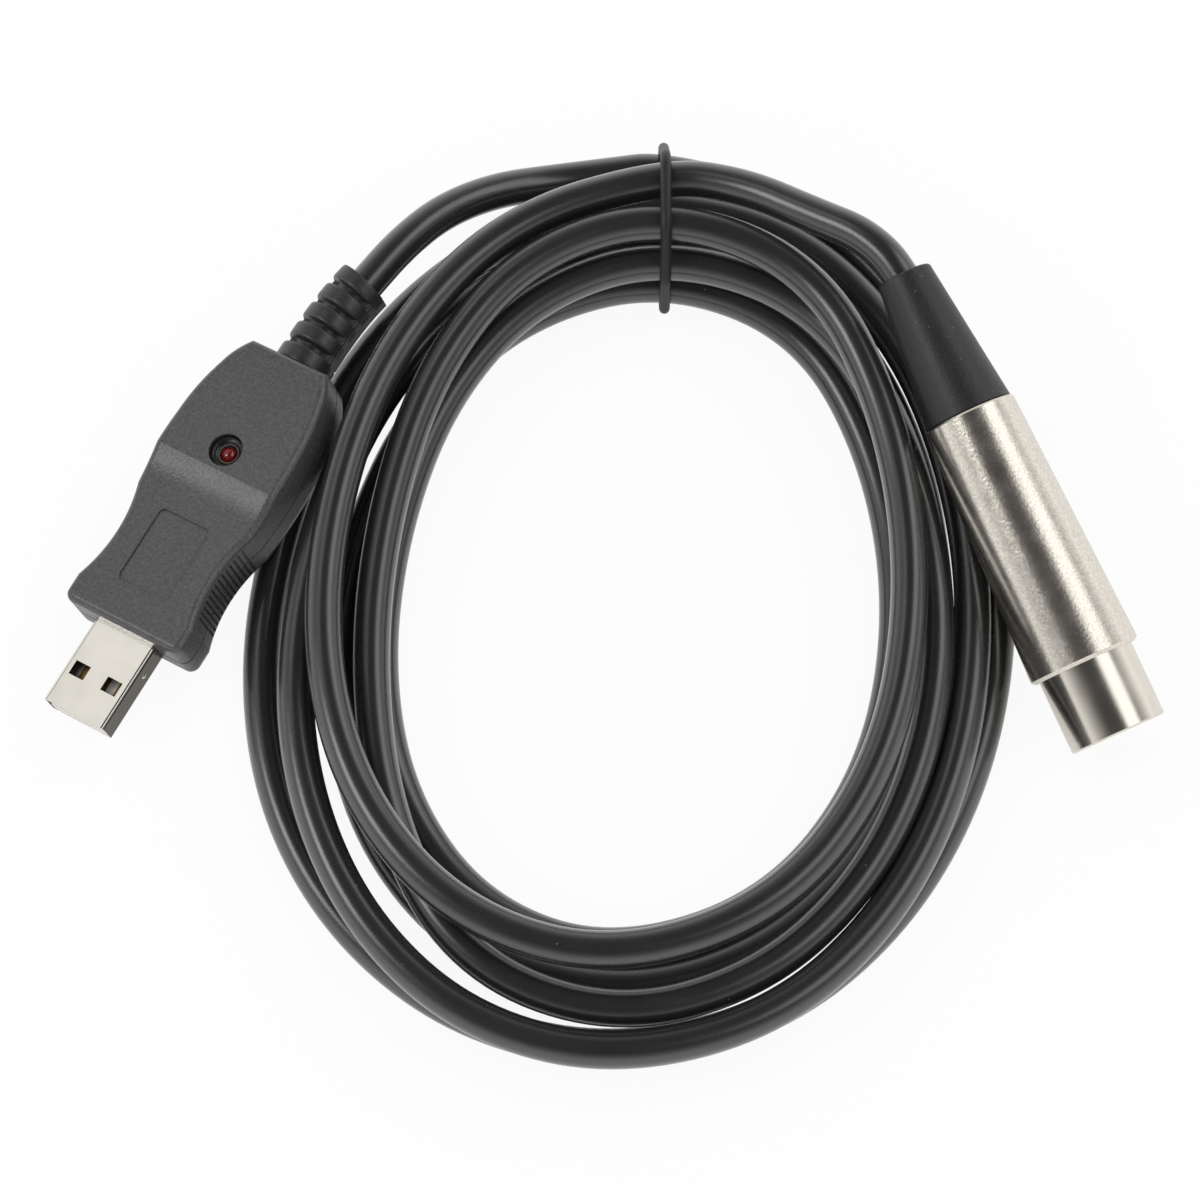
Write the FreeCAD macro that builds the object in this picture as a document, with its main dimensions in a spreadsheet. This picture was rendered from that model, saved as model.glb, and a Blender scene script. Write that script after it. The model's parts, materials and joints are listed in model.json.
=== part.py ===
import FreeCAD, Part
import math
import os

import Sketcher
from FreeCAD import Placement, Rotation, Vector

# Driving dimensions, in millimetres and degrees
SIZES = {
    # Place of the cable's working centre in the part's frame
    "centre_x": -0.48,
    "centre_y": 0.03,
    # Cable and its tie
    "cable_diameter": 6.0,
    "tie_wire": 1.8,
    "tie_clearance": 0.15,
    "tie_station": 10.8,
    "left_station": -14.0,
    "bottom_station": 2.0,
    "right_station": -4.0,
    "quarter_run": 92.0,
    # Fits
    "slip_fit": 0.05,
    "cable_fit": 0.1,
    "latch_side_fit": 0.2,
    "edge_break": 0.3,
    # XLR socket: place of its nose and lie of its axis
    "nose_x": 82.75,
    "nose_y": -25.55,
    "nose_z": 7.8,
    "socket_heading": -64.9,
    "socket_pitch": 13.0,
    "latch_roll": -140.0,
    # XLR socket: sleeves and boot
    "nose_length": 12.5,
    "nose_diameter": 16.0,
    "nose_wall": 0.9,
    "nose_hold": 18.5,
    "rim_width": 1.0,
    "rim_groove_width": 0.3,
    "rim_groove_depth": 0.12,
    "sleeve_length": 44.0,
    "sleeve_front_diameter": 18.5,
    "sleeve_back_diameter": 15.5,
    "sleeve_back_wall": 1.0,
    "boot_length": 25.0,
    "boot_front_diameter": 14.7,
    "boot_back_diameter": 9.2,
    "boot_edge": 0.6,
    "spigot_length": 4.0,
    # XLR socket: insert and contacts
    "insert_recess": 0.8,
    "insert_length": 30.2,
    "contact_circle": 9.0,
    "contact_diameter": 3.4,
    "contact_bore": 2.5,
    "contact_bore_depth": 11.0,
    "contact_entry_depth": 1.0,
    "contact_entry_diameter": 2.8,
    "cup_length": 5.0,
    "cup_diameter": 2.8,
    "cup_bore": 1.8,
    "cup_depth": 3.5,
    # XLR socket: latch
    "latch_width": 3.6,
    "latch_thickness": 1.4,
    "latch_top": 7.6,
    "latch_front": 4.6,
    "latch_pivot": 28.0,
    "latch_pivot_height": 5.2,
    "latch_eye_radius": 1.3,
    "latch_travel": 4.0,
    "latch_pin_diameter": 1.2,
    "hook_height": 1.2,
    "hook_length": 3.2,
    "hook_flat": 1.4,
    "tab_start": 15.0,
    "tab_length": 8.0,
    "tab_height": 3.0,
    "groove_floor": 3.8,
    "slot_lip": 3.4,
    "spring_width": 3.0,
    "spring_thickness": 0.3,
    "spring_reach": 3.5,
    "spring_foot": 5.0,
    # XLR socket: clamp and wires
    "clamp_length": 8.0,
    "clamp_slot": 1.0,
    "clamp_slot_depth": 6.0,
    "jacket_past_clamp": 1.0,
    "wire_diameter": 1.2,
    "wire_circle": 2.8,
    # Computer plug: place of its front face and lie of its axis
    "plug_x": -75.7,
    "plug_y": -9.3,
    "plug_z": 8.0,
    "plug_heading": 239.7,
    "plug_pitch": 3.5,
    "plug_roll": 12.0,
    # Computer plug: metal shell and tongue
    "shell_width": 12.0,
    "shell_height": 4.5,
    "shell_wall": 0.3,
    "shell_corner": 0.6,
    "shell_out": 15.6,
    "shell_in": 8.0,
    "window_place": 8.9,
    "window_spread": 6.4,
    "window_length": 2.5,
    "window_width": 2.9,
    "tongue_thickness": 1.85,
    "tongue_setback": 0.8,
    "tongue_block": 4.0,
    "contact_width": 1.0,
    "contact_thickness": 0.25,
    "contact_setback": 1.8,
    "contact_tail": 3.5,
    "inner_contact_spread": 2.0,
    "outer_contact_spread": 7.0,
    # Computer plug: housing
    "housing_length": 52.3,
    "housing_below": 5.6,
    "housing_front_above": 5.5,
    "housing_crease_above": 7.0,
    "housing_back_above": 6.2,
    "ramp_start": 22.0,
    "crease_place": 29.6,
    "crown_radius": 260.0,
    "front_half_width": 11.6,
    "front_flat": 4.6,
    "waist_half_width": 10.0,
    "belly_start": 22.5,
    "belly_half_width": 11.8,
    "belly_share": 0.5625,
    "belly_radius": 90.0,
    "shoulder_half_width": 10.2,
    "shoulder_length": 5.8,
    "flank_radius": 40.0,
    "back_half_width": 7.4,
    "shoulder_radius": 14.0,
    "housing_wall": 1.6,
    "front_corner_round": 1.6,
    "top_edge_round": 1.2,
    "low_edge_round": 2.4,
    "kink_round": 0.6,
    "panel_front": 6.6,
    "panel_back": 20.5,
    "panel_half_width": 5.0,
    "panel_depth": 0.3,
    "panel_corner": 1.2,
    "rib_span": 13.0,
    "rib_count": 14,
    "rib_depth": 0.4,
    "rib_gap": 0.45,
    "rib_reach": 4.0,
    "seam_width": 0.25,
    "seam_depth": 0.15,
    "post_diameter": 2.6,
    "post_front": 13.0,
    "post_setback": 4.05,
    "post_spread": 12.0,
    # Computer plug: light
    "led_place": 33.2,
    "led_recess_diameter": 5.8,
    "led_recess_depth": 1.6,
    "led_diameter": 3.0,
    "led_flange_diameter": 3.8,
    "led_flange_thickness": 0.8,
    "led_height": 4.7,
    "led_top_height": 6.0,
    "led_lead_width": 0.5,
    "led_lead_spread": 2.54,
    # Computer plug: circuit board and what is on it
    "wire_room": 4.1,
    "board_width": 15.0,
    "board_thickness": 1.0,
    "chip_length": 10.2,
    "chip_width": 5.3,
    "chip_height": 1.7,
    "chip_place": 17.5,
    "leg_width": 0.35,
    "leg_pitch": 1.27,
    "leg_count": 8,
    "leg_reach": 1.2,
    "crystal_length": 11.0,
    "crystal_width": 4.6,
    "crystal_height": 3.4,
    "crystal_place": 26.5,
    "capacitor_length": 3.2,
    "capacitor_width": 1.6,
    "capacitor_height": 1.2,
    "capacitor_setback": 5.55,
    "capacitor_spread": 9.0,
    # Computer plug: strain relief and wires
    "relief_core_diameter": 7.8,
    "relief_neck_diameter": 7.0,
    "relief_rib_diameter": 9.6,
    "relief_rib_width": 2.3,
    "relief_rib_pitch": 3.8,
    "relief_rib_count": 4,
    "relief_rib_first": 4.6,
    "relief_rail_height": 3.4,
    "relief_rail_half_width": 4.7,
    "collar_length": 3.2,
    "collar_diameter": 9.9,
    "flange_thickness": 2.0,
    "jacket_past_relief": 0.5,
    "signal_wire_diameter": 1.0,
    "signal_wire_circle": 2.4,
    "signal_wire_spread": 3.0,
    "signal_wire_hold": 4.0,
}

# Where things lie along each connector's axis and across it, worked out from the sizes
PLACES = {
    # XLR socket, measured backwards from the nose's front face
    "nose_back": "-(Sizes.nose_length + Sizes.nose_hold)",
    "nose_radius": "Sizes.nose_diameter / 2",
    "nose_bore": "Sizes.nose_diameter / 2 - Sizes.nose_wall",
    "sleeve_front": "-Sizes.nose_length",
    "sleeve_back": "-(Sizes.nose_length + Sizes.sleeve_length)",
    "sleeve_front_radius": "Sizes.sleeve_front_diameter / 2",
    "sleeve_back_radius": "Sizes.sleeve_back_diameter / 2",
    "sleeve_seat": "Sizes.nose_diameter / 2 + Sizes.slip_fit",
    "sleeve_bore": "Sizes.sleeve_back_diameter / 2 - Sizes.sleeve_back_wall",
    "boot_back": "-(Sizes.nose_length + Sizes.sleeve_length + Sizes.boot_length)",
    "spigot_front": "-(Sizes.nose_length + Sizes.sleeve_length - Sizes.spigot_length)",
    "spigot_radius": "Sizes.sleeve_back_diameter / 2 - Sizes.sleeve_back_wall - Sizes.slip_fit",
    "boot_bore": "Sizes.cable_diameter / 2 + Sizes.cable_fit",
    "clamp_front": "-(Sizes.nose_length + Sizes.sleeve_length - Sizes.spigot_length - Sizes.clamp_length)",
    "jacket_front": "-(Sizes.nose_length + Sizes.sleeve_length - Sizes.spigot_length - Sizes.clamp_length"
                    " - Sizes.jacket_past_clamp)",
    "insert_front": "-Sizes.insert_recess",
    "insert_back": "-(Sizes.insert_recess + Sizes.insert_length)",
    "insert_radius": "Sizes.nose_diameter / 2 - Sizes.nose_wall - Sizes.slip_fit",
    "cavity_front": "-(Sizes.insert_recess + Sizes.contact_entry_depth)",
    "cavity_radius": "Sizes.contact_diameter / 2 + Sizes.slip_fit",
    "contact_length": "Sizes.insert_length - Sizes.contact_entry_depth + Sizes.cup_length",
    "cup_floor": "-(Sizes.insert_recess + Sizes.insert_length + Sizes.cup_length - Sizes.cup_depth)",
    # Latch, with the pivot and the underside of its bar
    "slot_half_width": "Sizes.latch_width / 2 + Sizes.latch_side_fit",
    "pivot_place": "-Sizes.latch_pivot",
    "bar_bottom": "Sizes.latch_top - Sizes.latch_thickness",
    "bar_back": "-(Sizes.latch_pivot + Sizes.latch_eye_radius)",
    "pin_half_length": "sqrt(Places.insert_radius ^ 2 -"
                       " (Sizes.latch_pivot_height + Sizes.latch_pin_diameter / 2) ^ 2)",
    "window_front": "-(Sizes.tab_start - 2 * Sizes.latch_side_fit)",
    "window_back": "-(Sizes.tab_start + Sizes.tab_length + 2 * Sizes.latch_side_fit)",
    "spring_tip": "-(Sizes.latch_pivot - Sizes.spring_reach)",
    "spring_tip_height": "Places.bar_bottom - (Sizes.spring_reach + 0.5)"
                         " * tan(Sizes.latch_travel * 1 deg) - Sizes.slip_fit",
    # Computer plug, measured backwards from the housing's front face
    "shell_half_width": "Sizes.shell_width / 2",
    "shell_half_height": "Sizes.shell_height / 2",
    "tongue_half_width": "Sizes.shell_width / 2 - Sizes.shell_wall - Sizes.slip_fit",
    "tongue_bottom": "-(Sizes.shell_height / 2 - Sizes.shell_wall - Sizes.slip_fit)",
    "tongue_top": "Places.tongue_bottom + Sizes.tongue_thickness",
    "contact_bottom": "Places.tongue_top - Sizes.contact_thickness",
    "board_front": "-(Sizes.shell_in + Sizes.slip_fit)",
    "board_back": "-(Sizes.housing_length - Sizes.housing_wall - Sizes.slip_fit - Sizes.flange_thickness"
                  " - Sizes.jacket_past_relief - Sizes.wire_room)",
    "board_bottom": "Places.contact_bottom - Sizes.board_thickness",
    "housing_back": "-Sizes.housing_length",
    "shoulder_place": "-(Sizes.housing_length - Sizes.shoulder_length)",
    "belly_place": "-(Sizes.belly_start + Sizes.belly_share"
                   " * (Sizes.housing_length - Sizes.shoulder_length - Sizes.belly_start))",
    "flank_top": "Sizes.housing_front_above - Sizes.top_edge_round",
    "cavity_floor": "-(Sizes.housing_below - Sizes.housing_wall)",
    "cavity_back": "-(Sizes.housing_length - Sizes.housing_wall)",
    "flange_front": "-(Sizes.housing_length - Sizes.housing_wall - Sizes.slip_fit - Sizes.flange_thickness)",
    "neck_radius": "Sizes.relief_neck_diameter / 2",
    "core_radius": "Sizes.relief_core_diameter / 2",
    "waist_radius": "((Sizes.belly_start - Sizes.front_flat) ^ 2 / 4 +"
                    " (Sizes.front_half_width - Sizes.waist_half_width) ^ 2)"
                    " / (2 * (Sizes.front_half_width - Sizes.waist_half_width))",
    "waist_centre": "-(Sizes.front_flat + Sizes.belly_start) / 2",
    "waist_centre_across": "Sizes.waist_half_width + Places.waist_radius",
    "ramp_rise": "Sizes.housing_crease_above - Sizes.housing_front_above",
    "ramp_radius": "((Sizes.crease_place - Sizes.ramp_start) ^ 2 + Places.ramp_rise ^ 2)"
                   " / (2 * Places.ramp_rise)",
    "led_bottom": "Sizes.led_top_height - Sizes.led_height",
    "relief_back": "-(Sizes.housing_length + Sizes.relief_rib_first + Sizes.relief_rib_width"
                   " + (Sizes.relief_rib_count - 1) * Sizes.relief_rib_pitch)",
    "relief_bore": "Sizes.cable_diameter / 2",
    "jacket_end": "-(Sizes.housing_length - Sizes.housing_wall - Sizes.slip_fit - Sizes.flange_thickness"
                  " - Sizes.jacket_past_relief)",
}

# The route of the cable: what the tie holds first, then the free loops, as measured at four stations.
# Each turn gives its distance from the centre and its height at the tie, left, bottom and right.
TURNS = [
    [(67.0, 19.0), (43.0, 16.5), (63.5, 17.0), (49.0, 17.5)],
    [(59.0, 19.5), (36.0, 10.5), (69.0, 9.5), (53.5, 11.0)],
    [(55.0, 12.5), (34.5, 4.0), (60.0, 3.0), (46.5, 3.0)],
    [(54.5, 5.0), (43.5, 3.0), (67.0, 3.0), (53.5, 3.0)],
    [(61.5, 5.5), (48.0, 11.0), (77.5, 11.0), (60.0, 7.5)],
    [(68.5, 5.0), (53.5, 3.0), (75.5, 3.0), (65.5, 3.0)],
]
LAST_TIE_CROSSING = (75.5, 5.0)

# The two free leads, each point with its heading and climb in degrees
SOCKET_LEAD = [((35.0, 58.0, 24.0), (148.0, -7.0))]
PLUG_LEAD = [((-8.0, 73.5, 5.0), (186.0, 7.0)), ((-26.0, 65.5, 10.0), (213.0, 9.0))]

doc = FreeCAD.newDocument("MicrophoneCableCoil")


# Sheets

def add_sheet(name, cells):
    sheet = doc.addObject("Spreadsheet::Sheet", name)
    for row, (alias, content) in enumerate(cells.items(), start=1):
        sheet.set(f"A{row}", alias)
        sheet.set(f"B{row}", str(content))
        sheet.setAlias(f"B{row}", alias)
    return sheet


sizes = add_sheet("Sizes", SIZES)
doc.recompute()
places = add_sheet("Places", {alias: "=" + formula for alias, formula in PLACES.items()})
doc.recompute()
trial = doc.addObject("Spreadsheet::Sheet", "Trial")


def size(alias):
    return float(sizes.get(alias))


def place(alias):
    return float(places.get(alias))


def number(formula):
    """The present value of a formula on the sheets' cells."""
    trial.set("A1", "=" + formula)
    trial.recompute()
    return float(trial.get("A1"))


# Sketches and features

def new_body(label):
    body = doc.addObject("PartDesign::Body", label)
    body.Label = label
    return body


def origin_plane(body, role):
    return next(feature for feature in body.Origin.OriginFeatures if feature.Role == role)


def new_sketch(body, role, name, lift=None):
    """A sketch on one of the body's own planes, lifted along its normal by a formula."""
    sketch = body.newObject("Sketcher::SketchObject", name)
    sketch.AttachmentSupport = [(origin_plane(body, role), "")]
    sketch.MapMode = "FlatFace"
    if lift:
        sketch.setExpression("AttachmentOffset.Base.z", lift)
    return sketch


def bind(sketch, kind, *args, formula):
    """A constraint whose value follows a formula."""
    index = sketch.addConstraint(Sketcher.Constraint(kind, *args, number(formula)))
    sketch.setExpression(f"Constraints[{index}]", formula)


def hold_point(sketch, edge, end, across, along):
    bind(sketch, "DistanceX", -1, 1, edge, end, formula=across)
    bind(sketch, "DistanceY", -1, 1, edge, end, formula=along)


def arc_through(start, end, radius, turn):
    """The arc from start to end; turn is 1 when it runs anticlockwise and -1 when clockwise."""
    chord = end - start
    middle = (start + end) * 0.5
    rise = math.sqrt(max(radius ** 2 - (chord.Length / 2) ** 2, 0.0))
    across = Vector(-chord.y, chord.x, 0).normalize()
    centre = middle + across * rise * turn
    crown = centre - across * radius * turn
    return Part.Arc(start, crown, end)


def outline(sketch, corners):
    """A closed outline of lines and arcs. A corner is (x, y), or (x, y, radius, turn) at an arc's end."""
    points = [Vector(number(corner[0]), number(corner[1]), 0) for corner in corners]
    edges = []
    for index, corner in enumerate(corners):
        start, end = points[index - 1], points[index]
        if len(corner) == 2:
            edges.append(sketch.addGeometry(Part.LineSegment(start, end), False))
        else:
            edges.append(sketch.addGeometry(arc_through(start, end, number(corner[2]), corner[3]), False))
    ends = []
    for edge, corner in zip(edges, corners):
        clockwise = len(corner) == 4 and corner[3] < 0
        ends.append((2, 1) if clockwise else (1, 2))
    for index, corner in enumerate(corners):
        edge, before = edges[index], edges[index - 1]
        sketch.addConstraint(
            Sketcher.Constraint("Coincident", before, ends[index - 1][1], edge, ends[index][0]))
        hold_point(sketch, edge, ends[index][1], corner[0], corner[1])
        if len(corner) == 4:
            bind(sketch, "Radius", edge, formula=corner[2])


def rectangle(sketch, left, right, low, high):
    outline(sketch, [(left, low), (right, low), (right, high), (left, high)])


def rounded_rectangle(sketch, left, right, low, high, corner):
    outline(sketch, [
        (f"{left} + {corner}", low, corner, 1),
        (f"{right} - {corner}", low),
        (right, f"{low} + {corner}", corner, 1),
        (right, f"{high} - {corner}"),
        (f"{right} - {corner}", high, corner, 1),
        (f"{left} + {corner}", high),
        (left, f"{high} - {corner}", corner, 1),
        (left, f"{low} + {corner}"),
    ])


def circle(sketch, across, along, radius):
    centre = Vector(number(across), number(along), 0)
    edge = sketch.addGeometry(Part.Circle(centre, Vector(0, 0, 1), number(radius)), False)
    hold_point(sketch, edge, 3, across, along)
    bind(sketch, "Radius", edge, formula=radius)


def pad(body, sketch, length, midplane=False, reverse=False):
    feature = body.newObject("PartDesign::Pad", sketch.Name + "_pad")
    feature.Profile = sketch
    feature.setExpression("Length", length)
    feature.Midplane = midplane
    feature.Reversed = reverse
    body.Tip = feature
    return feature


def pocket(body, sketch, depth=None, midplane=False, reverse=False):
    """A cut of a given depth, or through everything. It has to remove something."""
    doc.recompute()
    before = body.Shape.Volume
    feature = body.newObject("PartDesign::Pocket", sketch.Name + "_cut")
    feature.Profile = sketch
    if depth:
        feature.setExpression("Length", depth)
    else:
        feature.Type = "ThroughAll"
    feature.Midplane = midplane
    feature.Reversed = reverse
    body.Tip = feature
    doc.recompute()
    if body.Shape.Volume > before - 1e-4:
        raise RuntimeError(f"{feature.Name} removes nothing")
    return feature


def revolve(body, corners):
    """A turned piece: corners are (along the axis, radius)."""
    sketch = new_sketch(body, "XY_Plane", body.Label + "_profile")
    outline(sketch, corners)
    feature = body.newObject("PartDesign::Revolution", body.Label + "_turned")
    feature.Profile = sketch
    feature.ReferenceAxis = (sketch, ["H_Axis"])
    feature.Angle = 360.0
    body.Tip = feature
    return body


def pattern(body, feature, length, count, axis="H_Axis"):
    row = body.newObject("PartDesign::LinearPattern", feature.Name + "_row")
    row.Originals = [feature]
    row.Direction = (feature.Profile[0], [axis])
    row.setExpression("Length", length)
    row.setExpression("Occurrences", count)
    body.Tip = row
    return row


def round_edges(body, wanted, radius, name):
    """Fillets the edges whose middle point the function wanted picks."""
    doc.recompute()
    base = body.Tip
    picked = []
    for index, edge in enumerate(base.Shape.Edges, start=1):
        middle = edge.valueAt((edge.FirstParameter + edge.LastParameter) / 2)
        if wanted(edge, middle):
            picked.append(f"Edge{index}")
    if not picked:
        raise RuntimeError(f"{name} finds no edge")
    fillet = body.newObject("PartDesign::Fillet", name)
    fillet.Base = (base, picked)
    fillet.setExpression("Radius", radius)
    body.Tip = fillet
    return fillet


# Where each connector lies

CENTRE = Placement(Vector(size("centre_x"), size("centre_y"), 0), Rotation())


def connector_placement(x, y, z, heading, pitch, roll):
    """X runs out of the connector's front; pitch lowers the front, roll raises the +Y side."""
    turn = Rotation(Vector(0, 0, 1), heading)
    tilt = Rotation(Vector(0, 1, 0), pitch)
    spin = Rotation(Vector(1, 0, 0), roll)
    return CENTRE.multiply(Placement(Vector(x, y, z), turn.multiply(tilt).multiply(spin)))


SOCKET = connector_placement(
    size("nose_x"), size("nose_y"), size("nose_z"),
    size("socket_heading"), size("socket_pitch"), size("latch_roll"),
)
PLUG = connector_placement(
    size("plug_x"), size("plug_y"), size("plug_z"),
    size("plug_heading"), size("plug_pitch"), size("plug_roll"),
)


# XLR socket

def nose_sleeve():
    body = revolve(new_body("xlr_nose_sleeve"), [
        ("0", "Places.nose_bore"),
        ("0", "Places.nose_radius - Sizes.edge_break"),
        ("-Sizes.edge_break", "Places.nose_radius"),
        ("-Sizes.rim_width", "Places.nose_radius"),
        ("-Sizes.rim_width", "Places.nose_radius - Sizes.rim_groove_depth"),
        ("-(Sizes.rim_width + Sizes.rim_groove_width)", "Places.nose_radius - Sizes.rim_groove_depth"),
        ("-(Sizes.rim_width + Sizes.rim_groove_width)", "Places.nose_radius"),
        ("Places.nose_back", "Places.nose_radius"),
        ("Places.nose_back", "Places.nose_bore"),
    ])
    slot = new_sketch(body, "XY_Plane", "nose_slot")
    rectangle(slot, "Places.nose_back - 1", "-Sizes.slot_lip",
              "-Places.slot_half_width", "Places.slot_half_width")
    pocket(body, slot, reverse=True)
    body.Placement = SOCKET
    return body


def body_sleeve():
    body = revolve(new_body("xlr_body_sleeve"), [
        ("Places.sleeve_front", "Places.sleeve_seat"),
        ("Places.sleeve_front", "Places.sleeve_front_radius - 2 * Sizes.edge_break"),
        ("Places.sleeve_front - 2 * Sizes.edge_break", "Places.sleeve_front_radius"),
        ("Places.sleeve_back + Sizes.edge_break", "Places.sleeve_back_radius"),
        ("Places.sleeve_back", "Places.sleeve_back_radius - Sizes.edge_break"),
        ("Places.sleeve_back", "Places.sleeve_bore"),
        ("Places.nose_back", "Places.sleeve_bore"),
        ("Places.nose_back", "Places.sleeve_seat"),
    ])
    window = new_sketch(body, "XY_Plane", "tab_window")
    rectangle(window, "Places.window_back", "Places.window_front",
              "-Places.slot_half_width", "Places.slot_half_width")
    pocket(body, window, reverse=True)
    body.Placement = SOCKET
    return body


def boot():
    body = revolve(new_body("xlr_boot"), [
        ("Places.spigot_front", "Places.boot_bore"),
        ("Places.spigot_front", "Places.spigot_radius"),
        ("Places.sleeve_back", "Places.spigot_radius"),
        ("Places.sleeve_back", "Sizes.boot_front_diameter / 2 - Sizes.edge_break"),
        ("Places.sleeve_back - Sizes.edge_break", "Sizes.boot_front_diameter / 2"),
        ("Places.boot_back + Sizes.boot_edge", "Sizes.boot_back_diameter / 2"),
        ("Places.boot_back", "Sizes.boot_back_diameter / 2 - Sizes.boot_edge", "Sizes.boot_edge", 1),
        ("Places.boot_back", "Places.boot_bore"),
    ])
    body.Placement = SOCKET
    return body


CONTACT_ANGLES = {1: 30.0, 2: 150.0, 3: 270.0}


def contact_centre(number_on_face):
    """Across and up from the axis; contacts 1 and 2 flank the latch and 3 lies opposite it."""
    angle = CONTACT_ANGLES[number_on_face]
    return (f"Sizes.contact_circle / 2 * cos({angle} * 1 deg)",
            f"Sizes.contact_circle / 2 * sin({angle} * 1 deg)")


def insert():
    body = revolve(new_body("xlr_insert"), [
        ("Places.insert_front", "0"),
        ("Places.insert_front", "Places.insert_radius"),
        ("Places.insert_back", "Places.insert_radius"),
        ("Places.insert_back", "0"),
    ])
    entries = new_sketch(body, "YZ_Plane", "contact_entries")
    cavities = new_sketch(body, "YZ_Plane", "contact_cavities", lift="Places.cavity_front")
    for contact in CONTACT_ANGLES:
        across, up = contact_centre(contact)
        circle(entries, across, up, "Sizes.contact_entry_diameter / 2")
        circle(cavities, across, up, "Places.cavity_radius")
    pocket(body, entries)
    pocket(body, cavities)
    groove = new_sketch(body, "XY_Plane", "latch_groove", lift="Sizes.groove_floor")
    rectangle(groove, "Places.insert_back - 1", "-Sizes.slot_lip",
              "-Places.slot_half_width", "Places.slot_half_width")
    pocket(body, groove, reverse=True)
    bore = new_sketch(body, "XZ_Plane", "pin_hole")
    circle(bore, "Places.pivot_place", "Sizes.latch_pivot_height", "Sizes.latch_pin_diameter / 2")
    pocket(body, bore, midplane=True)
    body.Placement = SOCKET
    return body


def contact(index):
    body = revolve(new_body(f"xlr_contact_{index}"), [
        ("0", "Sizes.contact_bore / 2"),
        ("0", "Sizes.contact_diameter / 2"),
        ("-(Places.contact_length - Sizes.cup_length)", "Sizes.contact_diameter / 2"),
        ("-(Places.contact_length - Sizes.cup_length)", "Sizes.cup_diameter / 2"),
        ("-Places.contact_length", "Sizes.cup_diameter / 2"),
        ("-Places.contact_length", "Sizes.cup_bore / 2"),
        ("-(Places.contact_length - Sizes.cup_depth)", "Sizes.cup_bore / 2"),
        ("-(Places.contact_length - Sizes.cup_depth)", "0"),
        ("-Sizes.contact_bore_depth", "0"),
        ("-Sizes.contact_bore_depth", "Sizes.contact_bore / 2"),
    ])
    across, up = contact_centre(index)
    seat = Vector(place("cavity_front"), number(across), number(up))
    body.Placement = SOCKET.multiply(Placement(seat, Rotation()))
    return body


def latch():
    """One lever: an eye on its pin at the back, a press tab in the sleeve's window and a hook at the nose."""
    body = new_body("xlr_latch")
    side = new_sketch(body, "XZ_Plane", "latch_side")
    outline(side, [
        ("-Sizes.latch_front", "Places.bar_bottom"),
        ("-Sizes.latch_front", "Sizes.latch_top"),
        ("-(Sizes.latch_front + Sizes.hook_length - Sizes.hook_flat)", "Sizes.latch_top + Sizes.hook_height"),
        ("-(Sizes.latch_front + Sizes.hook_length)", "Sizes.latch_top + Sizes.hook_height"),
        ("-(Sizes.latch_front + Sizes.hook_length)", "Sizes.latch_top"),
        ("-Sizes.tab_start", "Sizes.latch_top"),
        ("-Sizes.tab_start", "Sizes.latch_top + Sizes.tab_height - Sizes.boot_edge"),
        ("-(Sizes.tab_start + Sizes.boot_edge)", "Sizes.latch_top + Sizes.tab_height", "Sizes.boot_edge", 1),
        ("-(Sizes.tab_start + Sizes.tab_length - Sizes.hook_length)", "Sizes.latch_top + Sizes.tab_height"),
        ("-(Sizes.tab_start + Sizes.tab_length)", "Sizes.latch_top + Sizes.hook_height"),
        ("-(Sizes.tab_start + Sizes.tab_length)", "Sizes.latch_top"),
        ("Places.pivot_place", "Sizes.latch_top"),
        ("Places.bar_back", "Places.bar_bottom"),
        ("Places.bar_back", "Sizes.latch_pivot_height"),
        ("Places.pivot_place", "Sizes.latch_pivot_height - Sizes.latch_eye_radius",
         "Sizes.latch_eye_radius", 1),
        ("-(Sizes.latch_pivot - Sizes.latch_eye_radius)", "Sizes.latch_pivot_height",
         "Sizes.latch_eye_radius", 1),
        ("-(Sizes.latch_pivot - Sizes.latch_eye_radius)", "Places.bar_bottom"),
    ])
    pad(body, side, "Sizes.latch_width", midplane=True)
    bore = new_sketch(body, "XZ_Plane", "latch_eye")
    circle(bore, "Places.pivot_place", "Sizes.latch_pivot_height",
           "Sizes.latch_pin_diameter / 2 + Sizes.slip_fit")
    pocket(body, bore, midplane=True)
    body.Placement = SOCKET
    return body


def latch_pin():
    body = new_body("xlr_latch_pin")
    section = new_sketch(body, "XZ_Plane", "pin_section")
    circle(section, "Places.pivot_place", "Sizes.latch_pivot_height", "Sizes.latch_pin_diameter / 2")
    pad(body, section, "2 * Places.pin_half_length", midplane=True)
    body.Placement = SOCKET
    return body


def latch_spring():
    """A bent leaf: its foot lies in the insert's groove and its tip stands under the lever near the pin."""
    body = new_body("xlr_latch_spring")
    side = new_sketch(body, "XZ_Plane", "spring_side")
    outline(side, [
        ("Places.spring_tip + 2 * Sizes.spring_foot", "Sizes.groove_floor"),
        ("Places.spring_tip + 2 * Sizes.spring_foot", "Sizes.groove_floor + Sizes.spring_thickness"),
        ("Places.spring_tip + Sizes.spring_foot", "Sizes.groove_floor + Sizes.spring_thickness"),
        ("Places.spring_tip + Sizes.slip_fit", "Places.spring_tip_height"),
        ("Places.spring_tip - 2 * Sizes.spring_thickness", "Places.spring_tip_height"),
        ("Places.spring_tip - 2 * Sizes.spring_thickness",
         "Places.spring_tip_height - Sizes.spring_thickness"),
        ("Places.spring_tip", "Places.spring_tip_height - Sizes.spring_thickness"),
        ("Places.spring_tip + Sizes.spring_foot", "Sizes.groove_floor"),
    ])
    pad(body, side, "Sizes.spring_width", midplane=True)
    body.Placement = SOCKET
    return body


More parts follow.
